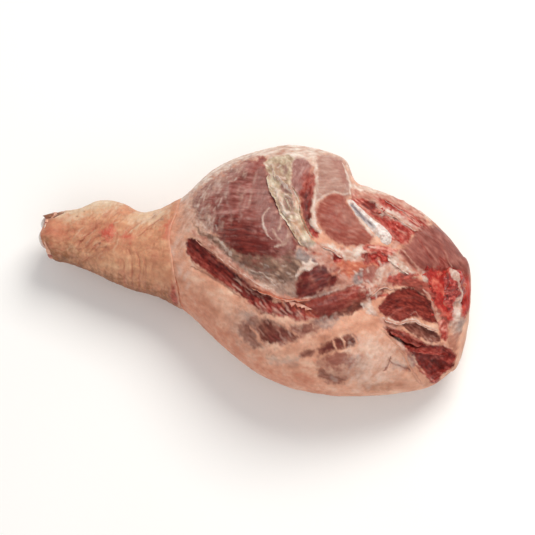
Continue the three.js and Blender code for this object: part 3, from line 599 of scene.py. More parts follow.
        rise=-2, shoulder=5),
    Patch(Tissue.DARK_GAP, ((136, 110), (146, 110), (157, 107), (153, 102), (142, 104)), 4, 2, -30, 0.6,
        rise=-2, shoulder=5),
    Stroke(Tissue.PINK_FILM, ((113, 122), (126, 126), (139, 124), (153, 118)), 3.0, 2.5, 4, 2, 0.8),
    Stroke(Tissue.CREAM_FAT, ((143, 119), (156, 113), (170, 109), (184, 102), (207, 94)), 3.6, 3.5, 5, 2.5,
        0.9),
    Stroke(Tissue.CREAM_FAT, ((147, 108), (157, 109), (168, 103)), 3.0, 2.5, 4, 2, 0.8),
    Stroke(Tissue.PINK_FILM, ((113, 117), (129, 106), (146, 96), (160, 85)), 2.6, 1, 4, 1.6, 0.9),
    Stroke(Tissue.BLOOD, ((118, 116), (134, 106), (151, 98)), 0.9, -1, 2, 1.6, 0.8),
    Stroke(Tissue.BLOOD, ((154, 93), (163, 85), (169, 76)), 1.0, -1, 2, 1.6, 0.7),
    Stroke(Tissue.PINK_FILM, ((152, 128), (169, 121), (189, 112), (209, 99)), 1.4, 1.5, 3, 2.5, 0.7),
    Wisps(Tissue.BLOOD, RUMP, 16, RUMP_GRAIN, 16, 1.5, 0.5, -1.0, 12),
    Wisps(Tissue.PINK_FILM, RUMP, 20, RUMP_GRAIN, 16, 1.3, 0.6, 1.2, 12),
    Patch(Tissue.SMOOTH_LEAN, BUTT_ROUND, 9, 3, -30, rise=7, shoulder=18),
    Stroke(Tissue.CUT_LEAN, ((204, 85), (212, 72), (225, 58)), 1.8, -0.8, 3, 2, 0.6),
    Stroke(Tissue.CUT_LEAN, ((227, 85), (240, 71), (252, 59)), 3, 0, 3, 2, 0.35),
    Stroke(Tissue.PINK_FILM, ((240, 73), (246, 64), (253, 52)), 0.9, 0.6, 2, 1.4, 0.6),
    Patch(Tissue.CUT_LEAN, ((233, 62), (243, 63), (249, 54), (240, 48)), 4, 2, -30, 0.8),
    Wisps(Tissue.MAROON_LEAN, BUTT_ROUND, 12, -42, 20, 1.4, 0.15, -0.3, 10),
    Wisps(Tissue.BEIGE_LEAN, BUTT_ROUND, 14, -42, 20, 1.8, 0.22, 0.2, 10),
    # messy fat and blood in the middle
    Patch(Tissue.PINK_FILM, MIDDLE, 6, 4, 0, 0.85),
    Patch(Tissue.CREAM_FAT, ((80, 57), (97, 57), (113, 53), (130, 62), (141, 60), (134, 50), (120, 40),
        (107, 43), (91, 51)), 4, 3, -10, 0.95, rise=2, shoulder=5),
    Patch(Tissue.ORANGE_FAT, ((105, 38), (120, 43), (141, 42), (156, 44), (147, 34), (130, 26), (124, 19),
        (112, 26)), 5, 3, 0, 0.9),
    Patch(Tissue.BLOOD, ((96, 44), (104, 48), (111, 45), (109, 38), (102, 36)), 3, 2, -30, 0.95, rise=-1.5,
        shoulder=3),
    Patch(Tissue.CUT_LEAN, ((134, 52), (145, 54), (148, 43), (138, 41)), 3, 2, 80, 0.95),
    Patch(Tissue.BLOOD, ((145, 54), (159, 59), (172, 55), (170, 42), (154, 40), (146, 45)), 4, 2.5, 0,
        rise=-3, shoulder=5),
    Patch(Tissue.RUMP_LEAN, ((135, 61), (147, 67), (165, 66), (179, 65), (172, 55), (154, 57), (141, 56)),
        4, 3, -10, 0.9),
    Patch(Tissue.BLUE_FILM, ((130, 27), (138, 31), (141, 21), (136, 13), (129, 17)), 4, 2, 60, 0.8),
    Patch(Tissue.SMOOTH_LEAN, ((139, 35), (154, 40), (162, 35), (159, 23), (147, 16), (139, 25)), 4, 3, -50,
        0.9),
    Patch(Tissue.CREAM_FAT, ((159, 36), (171, 47), (183, 36), (177, 23), (165, 16), (154, 17)), 5, 3, 60,
        0.6),
    Patch(Tissue.CREAM_FAT, ((167, 55), (178, 54), (192, 45), (206, 36), (196, 32), (182, 39)), 3, 2, -40,
        0.95, rise=2, shoulder=4),
    Patch(Tissue.BLOOD, ((171, 27), (183, 34), (201, 38), (212, 35), (192, 26), (177, 19)), 3, 3, 10, 0.85),
    Patch(Tissue.CREAM_FAT, ((215, 41), (220, 43), (230, 31), (218, 30)), 2.5, 1.5, 60, 0.9, rise=2,
        shoulder=3),
    Stroke(Tissue.BLOOD, ((150, -5), (162, 1), (176, 7)), 2.6, -3, 4, 2, 0.9),
    Patch(Tissue.CREAM_FAT, ((144, -9), (152, -4), (162, -15), (168, -22), (157, -21), (149, -16)), 4, 3, 0,
        0.8, rise=2, shoulder=4),
    Stroke(Tissue.PINK_FILM, ((149, -2), (158, 10), (167, 19), (178, 18), (183, 13)), 2.6, 2.5, 4, 2, 0.95),
    Stroke(Tissue.PINK_FILM, ((167, 19), (169, 29), (173, 40)), 2.6, 2, 4, 2, 0.7),
    Stroke(Tissue.PINK_FILM, ((178, 68), (190, 61), (202, 51), (211, 42)), 1.2, 1.4, 3, 1.5, 0.8),
    Stroke(Tissue.CUT_LEAN, ((184, 62), (196, 51), (208, 40)), 2.2, -1, 3, 1.5, 0.7),
    Patch(Tissue.PINK_FILM, ((171, 75), (180, 74), (177, 67), (169, 67)), 2.5, 1.5, 0, 0.9, rise=1.5,
        shoulder=3),
    Wisps(Tissue.ORANGE_FAT, MIDDLE, 14, 0, 9, 1.8, 0.6, 1.0, 50),
    Wisps(Tissue.BLOOD, MIDDLE, 18, 10, 9, 1.6, 0.6, -1.2, 40),
    Wisps(Tissue.CREAM_FAT, MIDDLE, 24, -24, 10, 1.5, 0.7, 1.5, 36),
    # near-black strands in the messy middle: painted shade in its gaps
    Wisps(Tissue.DARK_GAP, ((135, 63), (176, 66), (177, 43), (149, 39)), 7, 0, 5, 1.0, 0.6, -1.2, 50),
    # hip: bed of the sawn bone, fan of lean, torn corner and the film over it
    Patch(Tissue.TORN_LEAN, HIP, 6, 3, 60, 0.9),
    Patch(Tissue.MARROW, ((220, 42), (240, 49), (262, 48), (280, 40), (288, 22), (286, 2), (272, -14),
        (258, -14), (244, -6), (236, 8), (227, 26)), 6, 4, 0),
    Patch(Tissue.TORN_LEAN, ((178, 18), (189, 27), (210, 32), (226, 27), (236, 18), (235, 5), (220, 13),
        (198, 18)), 4, 3, 12, 0.9),
    Patch(Tissue.FAN_LEAN, FAN, 3, 2, -8, rise=-6, shoulder=14),
    Wisps(Tissue.CUT_LEAN, FAN, 26, FAN_GRAIN, 26, 0.9, 0.4, 0.3, 4),
    # near-black lines between the fan's fibres: painted shade
    Wisps(Tissue.DARK_GAP, FAN, 22, FAN_GRAIN, 26, 0.9, 0.35, -0.4, 4),
    Wisps(Tissue.CUT_LEAN, ((180, 18), (189, 26), (210, 31), (226, 26), (220, 16), (198, 19)), 12, 0, 16,
        1.1, 0.5, 0.5, 8),
    # near-black furrow: painted shade
    Stroke(Tissue.DARK_GAP, ((196, 18), (209, 16), (223, 10)), 1.2, -1.5, 3, 1.5, 0.7),
    Stroke(Tissue.PINK_FILM, ((218, 19), (229, 11), (236, -4), (243, -19)), 1.5, 1.6, 2.5, 1.0, 0.95),
    Stroke(Tissue.PINK_FILM, ((208, -15), (213, -11), (217, -15), (220, -21)), 0.9, 1.0, 2, 1.2, 0.6),
    Patch(Tissue.TORN_LEAN, CORNER, 3, 2, -30, rise=-6, shoulder=8),
    # dark lean in the torn corner's hollow, deepened as painted shade
    Patch(Tissue.DARK_LEAN_AND_SHADE, ((210, -62), (226, -65), (245, -66), (262, -69), (267, -79), (254, -86),
        (241, -90), (225, -76)), 8, 4, -30, 0.6, rise=-3, shoulder=6),
    Patch(Tissue.CUT_LEAN, ((180, -33), (195, -35), (212, -40), (226, -46), (221, -52), (205, -49),
        (189, -43)), 4, 2, -30, 0.85, rise=4, shoulder=5),
    # near-black furrow under the lip: painted shade
    Stroke(Tissue.DARK_GAP, ((181, -40), (192, -47), (206, -52), (222, -53), (240, -52)), 1.7, -3.2, 4, 1.5,
        0.8),
    Stroke(Tissue.CUT_LEAN, ((204, -55), (220, -58), (238, -57), (257, -58)), 3.2, 4, 5, 1.5, 0.85),
    # near-black hollow: painted shade
    Stroke(Tissue.DARK_GAP, ((243, -70), (252, -73), (261, -79)), 3.0, -3, 4, 1.5, 0.7),
    Stroke(Tissue.CUT_LEAN, ((198, -52), (208, -61), (220, -74), (235, -88)), 1.6, 2, 3, 1.5, 0.7),
    Stroke(Tissue.RUMP_LEAN, ((229, -84), (241, -90), (253, -99)), 1.8, 1.5, 3, 1.5, 0.7),
    Patch(Tissue.RUMP_LEAN, ((245, -20), (254, -16), (260, -28), (259, -42), (250, -37)), 3, 2, 60, 0.9,
        rise=3, shoulder=4),
    Patch(Tissue.BLOOD, ((248, -30), (256, -29), (258, -38), (252, -38)), 3, 2, 60, 0.8),
    Patch(Tissue.MOTTLED_FILM, ((263, -12), (273, -3), (275, -4), (276, -16), (274, -36), (272, -39),
        (262, -27)), 5, 3, 60, 0.9),
    Patch(Tissue.BLUE_FILM, ((271, -14), (283, -11), (275, -29), (272, -32)), 5, 3, 60, 0.6),
    Patch(Tissue.BEIGE_LEAN, ((262, -36), (275, -29), (273, -52), (268, -53), (260, -46)), 6, 3, 60, 0.75),
    Patch(Tissue.CREAM_FAT, ((260, 11), (267, 14), (273, -1), (270, -13), (263, -10)), 3, 2, 80, 0.85,
        rise=1.5, shoulder=3),
    Stroke(Tissue.PINK_FILM, ((234, -45), (245, -47), (256, -48), (268, -53)), 1.8, 2, 3, 3, 0.85, 0.3),
    # film over the pocket between the fan and the corner
    Patch(Tissue.PINK_FILM, ((168, -24), (179, -26), (189, -29), (195, -34), (185, -37), (175, -34)), 5, 3,
        -30, 0.85),
    Patch(Tissue.BROWN_FILM, ((197, -29), (210, -25), (223, -26), (237, -30), (249, -37), (250, -45),
        (237, -46), (223, -43), (209, -36)), 2.5, 1.5, -18, rise=-3, shoulder=5),
    # near black under the film: painted shade
    Patch(Tissue.DARK_GAP, ((220, -27), (237, -31), (249, -37), (246, -40), (232, -34)), 3, 1.5, -18, 0.4),
    Wisps(Tissue.PINK_FILM, ((211, -34), (235, -36), (250, -42), (237, -46), (220, -43)), 8, -24, 8, 1.0,
        0.45, 0.5, 10),
    # the flank: muscle seen through thinner fat, between raised bands
    Patch(Tissue.MOTTLED_FILM, ((-17, -44), (5, -35), (32, -44), (70, -41), (123, -31), (109, -50),
        (74, -71), (41, -86), (6, -84), (-14, -67)), 18, 8, 0, 0.5, thin=0.2),
    Patch(Tissue.BLUE_FILM, ((-9, -45), (1, -39), (14, -44), (13, -54), (0, -56)), 8, 5, -30, 0.45,
        thin=0.6),
    Patch(Tissue.BROWN_FILM, ((-6, -65), (3, -56), (12, -62), (24, -73), (30, -83), (14, -83), (0, -76)), 8,
        4, -30, 0.75, thin=0.2),
    Patch(Tissue.WINDOW_LEAN, WINDOW_LEFT, 7, 4, -30, 1.0, thin=0.15),
    Patch(Tissue.MAROON_LEAN, ((30, -62), (39, -55), (52, -57), (66, -59), (65, -68), (49, -74), (36, -72)),
        8, 4, -30, 0.75),
    Patch(Tissue.BROWN_FILM, ((52, -56), (71, -47), (95, -44), (111, -48), (103, -61), (79, -71),
        (62, -71)), 9, 5, 20, 0.7, thin=0.3),
    Patch(Tissue.WINDOW_LEAN, ((1, -54), (22, -44), (50, -45), (59, -53), (38, -63), (10, -67)), 7, 4, -30,
        0.7, thin=0.3),
    Patch(Tissue.BROWN_FILM, ((99, -86), (119, -78), (153, -78), (162, -92), (138, -109), (107, -106)), 10,
        5, 15, 0.45, thin=0.3),
    Patch(Tissue.BROWN_FILM, ((74, -55), (78, -45), (86, -43), (88, -52), (81, -58)), 4, 2.5, 30, 0.9),
    Patch(Tissue.BLUE_FILM, ((90, -41), (104, -36), (121, -33), (115, -43), (98, -49)), 7, 4, 0, 0.5,
        thin=0.4),
    Patch(Tissue.WINDOW_LEAN, WINDOW_BARS, 5, 2.5, 25, 1.0),
    Patch(Tissue.MAROON_LEAN, ((104, -71), (113, -66), (117, -72), (107, -75)), 4, 2, 25, 0.6),
    Patch(Tissue.MAROON_LEAN, ((119, -60), (124, -59), (127, -65), (122, -67)), 3, 2, 25, 0.6),
    Patch(Tissue.BROWN_FILM, ((77, -88), (80, -80), (92, -74), (92, -82), (84, -88)), 5, 3, 30, 0.9),
    Patch(Tissue.BLUE_FILM, ((37, -97), (59, -91), (79, -88), (68, -100), (48, -101)), 7, 5, 0, 0.4,
        thin=0.5),
    Patch(Tissue.BEIGE_LEAN, ((104, -84), (118, -78), (137, -74), (151, -74), (149, -85), (135, -93),
        (118, -95), (107, -90)), 10, 6, 15, 0.9),
    Patch(Tissue.SMOOTH_LEAN, ((111, -84), (128, -78), (146, -78), (139, -86), (120, -90)), 8, 5, 15, 0.5,
        thin=0.3),
    Patch(Tissue.BROWN_FILM, ((101, -101), (111, -100), (124, -103), (137, -105), (136, -112), (118, -115),
        (104, -109)), 6, 3, -10, 0.85, thin=0.2),
    Patch(Tissue.BEIGE_LEAN, ((193, -79), (205, -80), (220, -84), (209, -88), (197, -85)), 6, 3, -10, 0.8),
    Patch(Tissue.BLUE_FILM, ((206, -67), (219, -68), (224, -78), (213, -80)), 6, 3, -10, 0.5),
    Patch(Tissue.BROWN_SPOT, ((156, -116), (173, -108), (194, -106), (201, -102), (197, -111), (175, -120)),
        8, 4, 0, 0.55),
    Patch(Tissue.CREAM_FAT, ((138, -63), (161, -48), (188, -54), (206, -67), (204, -91), (180, -105),
        (150, -109), (140, -89)), 22, 8, 60, 0.42),
    Stroke(Tissue.FLANK_FAT, ((28, -88), (51, -83), (74, -73), (97, -59), (118, -47), (136, -31)), 8, 3, 10,
        4, 0.8),
    Stroke(Tissue.FLANK_FAT, ((22, -43), (45, -46), (70, -44), (87, -38)), 4, 1.5, 6, 4, 0.6),
    Wisps(Tissue.PINK_FILM, WINDOW_LEFT, 12, -52, 12, 1.3, 0.5, 0.5, 14),
    Stroke(Tissue.FLANK_FAT, ((46, -49), (57, -54), (73, -61)), 1.6, 1, 2.5, 2, 0.8, 0.2),
    Stroke(Tissue.FLANK_FAT, ((9, -58), (19, -69), (32, -81)), 1.8, 1, 2.5, 2, 0.9),
    Stroke(Tissue.FLANK_FAT, ((114, -61), (117, -66), (122, -73)), 1.4, 1, 2.5, 1.5, 0.9),
    Stroke(Tissue.FLANK_FAT, ((122, -54), (128, -60), (132, -67)), 1.4, 1, 2.5, 1.5, 0.9),
    Stroke(Tissue.FLANK_FAT, ((136, -50), (142, -55), (145, -60)), 1.2, 1, 2.5, 1.5, 0.8),
    Wisps(Tissue.ORANGE_FAT, ((73, -99), (97, -87), (105, -110), (81, -120)), 12, 5, 12, 1.4, 0.4, 0.3, 14),
    Wisps(Tissue.BROWN_FILM, ((-12, -43), (14, -44), (71, -48), (119, -36), (108, -48), (63, -80),
        (40, -105), (12, -89)), 40, 20, 6, 1.3, 0.35, -0.2, 40),
    Wisps(Tissue.CREAM_FAT, ((135, -44), (197, -48), (222, -86), (195, -111), (132, -126), (106, -118),
        (137, -69)), 24, -20, 18, 2.6, 0.3, 0.4, 40),
    Patch(Tissue.CREAM_FAT, ((56, 11), (59, 21), (62, 26), (62, 32), (68, 31), (72, 38), (74, 33), (82, 32),
        (77, 27), (73, 21), (66, 20), (60, 13)), 1.2, 0.4, 0, 0.95, rise=2.4, shoulder=2.5),
    # rims, seams and furrows
    # near-black furrow beside the strip's torn edge: painted shade
    Stroke(Tissue.DARK_GAP, ((8, 116), (18, 99), (29, 85), (38, 74), (51, 58)), 1.0, -3, 3, 1, 0.7, 0.2),
    Stroke(Tissue.PINK_FILM, ((-85, 48), (-67, 39), (-46, 28), (-24, 13), (2, -2), (28, -13), (51, -16)),
        5.0, 2.5, 5.5, 2, 0.9),
    Stroke(Tissue.CREAM_FAT, ((-30, 19), (-14, 7), (8, -3), (27, -9)), 0.9, 0.8, 2, 1, 0.85),
    Stroke(Tissue.ORANGE_FAT, ((-59, 26), (-39, 16), (-19, 5), (4, -5), (23, -13)), 1.6, 1, 3, 2, 0.5, 0.2),
    Stroke(Tissue.ORANGE_FAT, ((4, -8), (26, -15), (44, -18), (64, -17), (78, -14)), 2.4, 2.5, 4, 2.4, 0.8,
        0.1),
    Stroke(Tissue.CREAM_FAT, ((1, 139), (6, 119), (18, 103), (28, 88)), 1.4, 1.6, 2.4, 2, 0.8, 0.1),
    Stroke(Tissue.CREAM_FAT, ((36, 79), (49, 63), (61, 50)), 1.2, 1.4, 2.4, 2, 0.6, 0.3),
    Stroke(Tissue.CREAM_FAT, ((33, 125), (44, 111), (49, 92)), 1.4, 2.0, 3, 1.6, 0.8),
    Stroke(Tissue.ORANGE_FAT, ((48, 94), (55, 83), (62, 71), (71, 61), (83, 55)), 1.1, 0.6, 2, 1, 0.8),
    Stroke(Tissue.CREAM_FAT, ((64, 143), (66, 125), (64, 109), (66, 93), (72, 79), (79, 72)), 2.6, 1.2, 3.4,
        1.6, 0.85),
    Stroke(Tissue.CREAM_FAT, ((64, 86), (69, 77), (78, 73)), 2.4, 1.5, 3, 2, 0.95),
    Stroke(Tissue.CREAM_FAT, LOBE_SEAM, 1.5, -1.0, 4, 1.2, 0.7),
    Stroke(Tissue.CREAM_FAT, ((92, 166), (100, 153), (106, 140), (108, 126)), 1.4, 0.8, 2.5, 1.2, 0.85),
    Stroke(Tissue.CREAM_FAT, ((107, 118), (116, 107), (128, 94), (140, 83), (149, 75)), 2.4, 1, 4, 1.6,
        0.8),
    Stroke(Tissue.CREAM_FAT, ((66, -16), (78, -12), (94, -5), (113, 5), (130, 12)), 1.4, -1.0, 3, 1.4, 0.55,
        0.1),
    Stroke(Tissue.PINK_FILM, ((89, -5), (103, 3), (117, 9), (127, 13)), 3.4, 1, 4, 2.4, 0.6),
    Stroke(Tissue.CREAM_FAT, ((173, -24), (184, -25), (193, -27), (203, -24), (214, -21), (223, -25),
        (234, -27), (245, -31)), 1.5, 2.4, 3, 2.4, 0.9),
    Stroke(Tissue.PINK_FILM, ((176, -42), (192, -52), (208, -68), (222, -88), (238, -104)), 2.0, 1, 4, 2,
        0.5),
    Stroke(Tissue.BROWN_FILM, ((183, -90), (188, -83), (189, -72)), 1.0, -2, 3, 1.4, 0.8),
    Stroke(Tissue.BROWN_FILM, ((190, -77), (199, -81), (208, -83), (217, -84)), 1.2, -1.5, 3, 1.4, 0.6),
    Stroke(Tissue.BROWN_FILM, ((-78, 4), (-59, -2), (-35, -11), (-8, -25)), 1.4, -1.5, 4, 1.5, 0.6),
    Stroke(Tissue.ORANGE_FAT, SKIN_CORNER, 1.3, -0.8, 2.5, 1, 0.9),
    Stroke(Tissue.ORANGE_FAT, ((-92, -38), (-87, -50), (-82, -60)), 1.2, -0.5, 3, 1.4, 0.6),
)

SAWN_FACE: Pairs = ((221, 47), (272, 33), (275, -4), (254, -19), (232, 7))

# What lies on the sawn hip bone: its cavity painted near black as shade, its fresh red flesh, pale splinters,
# and painted highlights on its edges.
HIP_BONE: tuple[Mark, ...] = (
    Patch(Tissue.BLOOD, ((218, 49), (243, 48), (250, 30), (234, 28), (225, 37)), 4, 2, -40, 0.7),
    Patch(Tissue.BLOOD, ((245, 32), (264, 35), (271, 16), (261, 4), (245, 9)), 6, 2, 0, 0.85),
    # the cavity, painted near black as shade
    Patch(Tissue.DARK_GAP, ((232, 27), (241, 30), (247, 22), (247, 6), (239, 2), (231, 12)), 4, 2, 60, 0.9,
        rise=-7, shoulder=7),
    Patch(Tissue.CREAM_FAT, ((250, 51), (259, 51), (266, 40), (261, 36), (253, 42)), 2, 1, 60, 0.9, rise=2,
        shoulder=3),
    Patch(Tissue.CREAM_FAT, ((265, 15), (271, 16), (274, 2), (274, -13), (262, -7), (262, 6)), 3, 1.5, 80,
        0.85, rise=1.5, shoulder=3),
    Stroke(Tissue.CREAM_FAT, ((262, 38), (268, 27), (271, 15)), 1.4, 1.2, 3, 1, 0.8),
    # painted highlights on the bone's edges, in orange fat's colours
    Stroke(Tissue.ORANGE_FAT, ((272, 34), (280, 25), (275, 12)), 2.2, 1, 4, 2, 0.8),
    Stroke(Tissue.ORANGE_FAT, ((243, 5), (251, 2), (250, -7)), 2.4, 1, 4, 2, 0.8),
    Stroke(Tissue.ORANGE_FAT, ((226, 41), (232, 45), (241, 42)), 1.8, 1, 4, 2, 0.6),
    # a furrow painted near black and another painted dark lean: painted shade
    Stroke(Tissue.DARK_GAP, ((224, 44), (233, 36), (244, 29)), 1.4, -2.5, 3, 1.4, 0.9),
    Stroke(Tissue.DARK_LEAN_AND_SHADE, ((247, 46), (251, 34), (249, 22)), 1.8, -1.5, 4, 2, 0.6),
    # near-black strands on the sawn face: painted shade in its pits
    Wisps(Tissue.DARK_GAP, SAWN_FACE, 12, 60, 7, 1.0, 0.6, -1.0, 50),
    Wisps(Tissue.CREAM_FAT, SAWN_FACE, 10, 60, 6, 1.2, 0.45, 0.8, 50),
)

ANKLE: Pairs = ((-248, 20), (-226, 50), (-190, 58), (-176, 30), (-200, 0), (-236, -6))

# What lies on the shank's skin: flushes, wrinkles and marks.
SHANK: tuple[Mark, ...] = (
    # painted shade: olive brown over the shank's near, lower side
    Patch(Tissue.SKIN_SHADE, ((-300, 0), (-250, 2), (-220, -12), (-170, -24), (-110, -34), (-90, -60),
        (-120, -140), (-300, -140)), 26, 8, 0, 0.9),
    # painted highlight: pale cream over the heel's top and the shank's upper side, in these two patches
    Patch(Tissue.SKIN_CREAM_AND_HIGHLIGHT, ((-280, 44), (-258, 60), (-220, 80), (-190, 84), (-196, 62), (-226, 52),
        (-250, 40)), 20, 6, 30, 0.9),
    Patch(Tissue.SKIN_CREAM_AND_HIGHLIGHT, ((-176, 50), (-160, 66), (-130, 74), (-122, 62), (-150, 46)), 16, 5, 30, 0.7),
    Patch(Tissue.SKIN_FLUSH, ((-284, 10), (-284, 36), (-262, 38), (-246, 22), (-262, 8)), 26, 8, 30, 0.35),
    Patch(Tissue.SKIN_LINE, ((-240, 34), (-206, 46), (-180, 34), (-150, 30), (-170, 12), (-210, 10),
        (-236, 18)), 26, 8, 40, 0.4),
    Wisps(Tissue.SKIN_LINE, ANKLE, 70, 42, 17, 0.9, 0.35, -0.6, 16),
    # pale cream strands on the ankle's wrinkle ridges: painted highlight
    Wisps(Tissue.SKIN_CREAM_AND_HIGHLIGHT, ANKLE, 30, 42, 15, 0.9, 0.3, 0.3, 14),
    Wisps(Tissue.SKIN_LINE, ((-170, 30), (-140, 66), (-118, 62), (-124, 20), (-160, 10)), 40, 48, 16, 0.9,
        0.3, -0.6, 16),
    Wisps(Tissue.SKIN_LINE, ((-176, -6), (-120, 20), (-100, -10), (-104, -60), (-160, -50)), 46, 96, 18,
        0.9, 0.28, -0.6, 10),
    Wisps(Tissue.SKIN_LINE, ((-284, -20), (-284, 30), (-200, 20), (-110, 60), (-90, -40), (-200, -40)), 70,
        30, 9, 1.0, 0.3, -0.3, 40),
    Stroke(Tissue.SKIN_LINE, ((-176, 30), (-164, 42), (-150, 54), (-140, 62)), 1.0, -1.6, 2.6, 1.5, 0.6),
    Stroke(Tissue.SKIN_LINE, ((-160, 28), (-148, 42), (-136, 55), (-128, 62)), 1.0, -1.5, 2.6, 1.5, 0.6),
    # pale cream on the ridge between two creases: painted highlight
    Stroke(Tissue.SKIN_CREAM_AND_HIGHLIGHT, ((-170, 34), (-157, 47), (-145, 59)), 1.4, 1.2, 2.6, 1.5, 0.6),
    Stroke(Tissue.SKIN_LINE, ((-236, 8), (-224, 24), (-212, 38)), 0.9, -1.2, 2.2, 1.5, 0.6),
    Stroke(Tissue.SKIN_LINE, ((-228, 4), (-214, 20), (-202, 36)), 0.9, -1.2, 2.2, 1.5, 0.6),
    Stroke(Tissue.SKIN_LINE, ((-222, 0), (-206, 16), (-194, 28)), 0.9, -1.0, 2.2, 1.5, 0.6),
    Stroke(Tissue.SKIN_LINE, ((-160, -44), (-157, -18), (-160, 4), (-168, 16)), 0.9, -0.9, 2.6, 1.2, 0.5),
    Stroke(Tissue.SKIN_LINE, ((-150, -50), (-147, -20), (-149, 2), (-156, 14)), 0.9, -0.9, 2.6, 1.2, 0.5),
    Stroke(Tissue.SKIN_LINE, ((-143, -52), (-139, -26), (-140, -4), (-146, 10)), 0.9, -0.8, 2.6, 1.2, 0.5),
    Stroke(Tissue.SKIN_LINE, ((-170, -38), (-168, -16), (-171, 2)), 0.9, -0.8, 2.6, 1.2, 0.4),
    Patch(Tissue.SKIN_FLUSH, ((-206, 34), (-196, 40), (-186, 36), (-190, 28), (-202, 28)), 9, 4, 0, 0.85),
    Patch(Tissue.SKIN_FLUSH, ((-200, 26), (-192, 30), (-190, 20), (-197, 18)), 8, 4, 0, 0.45),
    Patch(Tissue.SKIN_FLUSH, ((-178, 28), (-168, 33), (-160, 30), (-168, 24)), 9, 4, 20, 0.7),
    Patch(Tissue.SKIN_FLUSH, ((-124, 54), (-114, 60), (-112, 36), (-120, 34)), 12, 5, 80, 0.5),
    Patch(Tissue.BLOOD, ((-103, -18), (-98, -22), (-93, -32), (-92, -44), (-98, -46), (-104, -34)), 6, 3, 0,
        0.7),
    Patch(Tissue.SKIN_MARK, ((-244, 45), (-242, 46), (-240, 45), (-242, 44)), 1.5, 0.6, 0, 0.8),
    Patch(Tissue.SKIN_MARK, ((-236, 52), (-234, 53), (-233, 52), (-234, 51)), 1.5, 0.6, 0, 0.6),
    Patch(Tissue.SKIN_MARK, ((-252, 26), (-248, 29), (-246, 27), (-249, 25)), 3, 1.0, 40, 0.45),
    Patch(Tissue.SKIN_MARK, ((-207, 16), (-205, 18), (-204, 16), (-206, 15)), 1.6, 0.6, 40, 0.7),
    Patch(Tissue.SKIN_MARK, ((-131, 58), (-128, 60), (-126, 57), (-129, 56)), 2, 1, 0, 0.5),
)


# ---------------------------------------------------------------- the leg's bare form


@dataclass(frozen=True)
class Section:
    """One cross-section: its place along the leg, its two sides, its lowest and highest points."""

    x: float
    near: float
    far: float
    under: float
    crown: float
    lean: float = 0.0
    skew: float = 0.0

    def row(self) -> tuple[float, ...]:
        """The sizes as one row of a table."""
        return self.x, self.near, self.far, self.under, self.crown, self.lean, self.skew


@dataclass(frozen=True)
class LegForm:
    """The smooth leg without relief: a loft of squarish ovals, pressed flat where it lies."""

    sections: tuple[Section, ...] = (
        Section(-280, -33, 28, 26, 88, skew=-0.2),  # hock saw cut, slanted
        Section(-250, -32, 31, 20, 95),
        Section(-220, -39, 49, 16, 100),  # point of the heel
        Section(-190, -48, 49, 14, 104),
        Section(-155, -56, 41, 10, 108),
        Section(-115, -63, 66, 4, 120),
        Section(-75, -86, 114, 0, 142),
        Section(-30, -120, 141, -4, 160),
        Section(20, -151, 158, -6, 172),
        Section(66, -165, 157, -6, 172),
        Section(95, -167, 149, -5, 168),
        Section(112, -167, 122, -4, 163),  # step behind the lobe
        Section(135, -165, 117, -2, 156),
        Section(170, -158, 111, 0, 146, lean=-0.1),
        Section(208, -147, 99, 6, 130, lean=-0.2),
        Section(244, -131, 77, 14, 108, lean=-0.3),
        Section(270, -106, 52, 30, 80, lean=-0.3),
    )
    butt_nose: float = 16.0
    square_top: float = 2.3
    square_bottom: float = 2.2

    @property
    def last(self) -> int:
        """Position of the last section."""
        return len(self.sections) - 1

    def points(self, position: np.ndarray, angle: np.ndarray) -> np.ndarray:
        """Points of the form.

        Args:
            position: Places along the leg, counted in sections from the hock.
            angle: Angles round it, 0 at the far side and a quarter turn at the crown.

        Returns:
            One row of x, y and z for each pair, the shapes broadcast together.
        """
        position, angle = np.broadcast_arrays(np.asarray(position, float), np.asarray(angle, float))
        table = np.array([section.row() for section in self.sections])
        x, near, far, under, crown, lean, skew = np.moveaxis(catmull_rom(table, position), -1, 0)
        c, s = np.cos(angle), np.sin(angle)
        power = np.where(s >= 0, 2 / self.square_top, 2 / self.square_bottom)
        reach = np.sign(c) * np.abs(c) ** power * (far - near) / 2
        rise = np.sign(s) * np.abs(s) ** power * (crown - under) / 2
        x = x + lean * rise + skew * reach
        return np.stack([x, (near + far) / 2 + reach, (under + crown) / 2 + rise], -1)

    def outward(self, position: np.ndarray, angle: np.ndarray) -> np.ndarray:
        """Directions straight out of the form, across the leg."""
        turn = 0.01
        along = self.points(position, angle + turn) - self.points(position, angle - turn)
        out = np.stack([np.zeros(along.shape[:-1]), along[..., 2], -along[..., 1]], -1)
        return out / np.maximum(np.linalg.norm(out, axis=-1, keepdims=True), 1e-9)

    def positions(self, start: float, end: float, spacing: Callable[[np.ndarray], np.ndarray]) -> np.ndarray:
        """Positions along the leg that are as far apart as spacing says.

        Args:
            start: First position.
            end: Last position.
            spacing: Gives millimetres between rings for places x.

        Returns:
            The positions, in order.
        """
        fine = np.linspace(start, end, 3000)
        round_it = np.array([0.0, 0.25, 0.5, 0.75, 1.0, 1.5]) * math.pi
        crown = 2  # which of these angles is at the top
        edges = self.points(fine[:, None], round_it)
        longest = np.linalg.norm(np.diff(edges, axis=0), axis=-1).max(1)
        steps = longest / spacing(edges[1:, crown, 0])
        return evenly(fine, steps, int(round(np.cumsum(steps)[-1])) + 1)


def face_place(points: np.ndarray) -> tuple[np.ndarray, np.ndarray]:
    """The places x and q of points in space."""
    return points[:, 0], points @ FACE_ACROSS


HOCK_CUT = -280.0  # x of the saw cut at the hock

# Where the skin of the shank was cut, seen square on to the cut face.
SKIN_EDGE: Pairs = ((-114, 112), (-111, 75), (-115, 45), (-107, 14), (-99, -13), (-90, -45), (-88, -92))


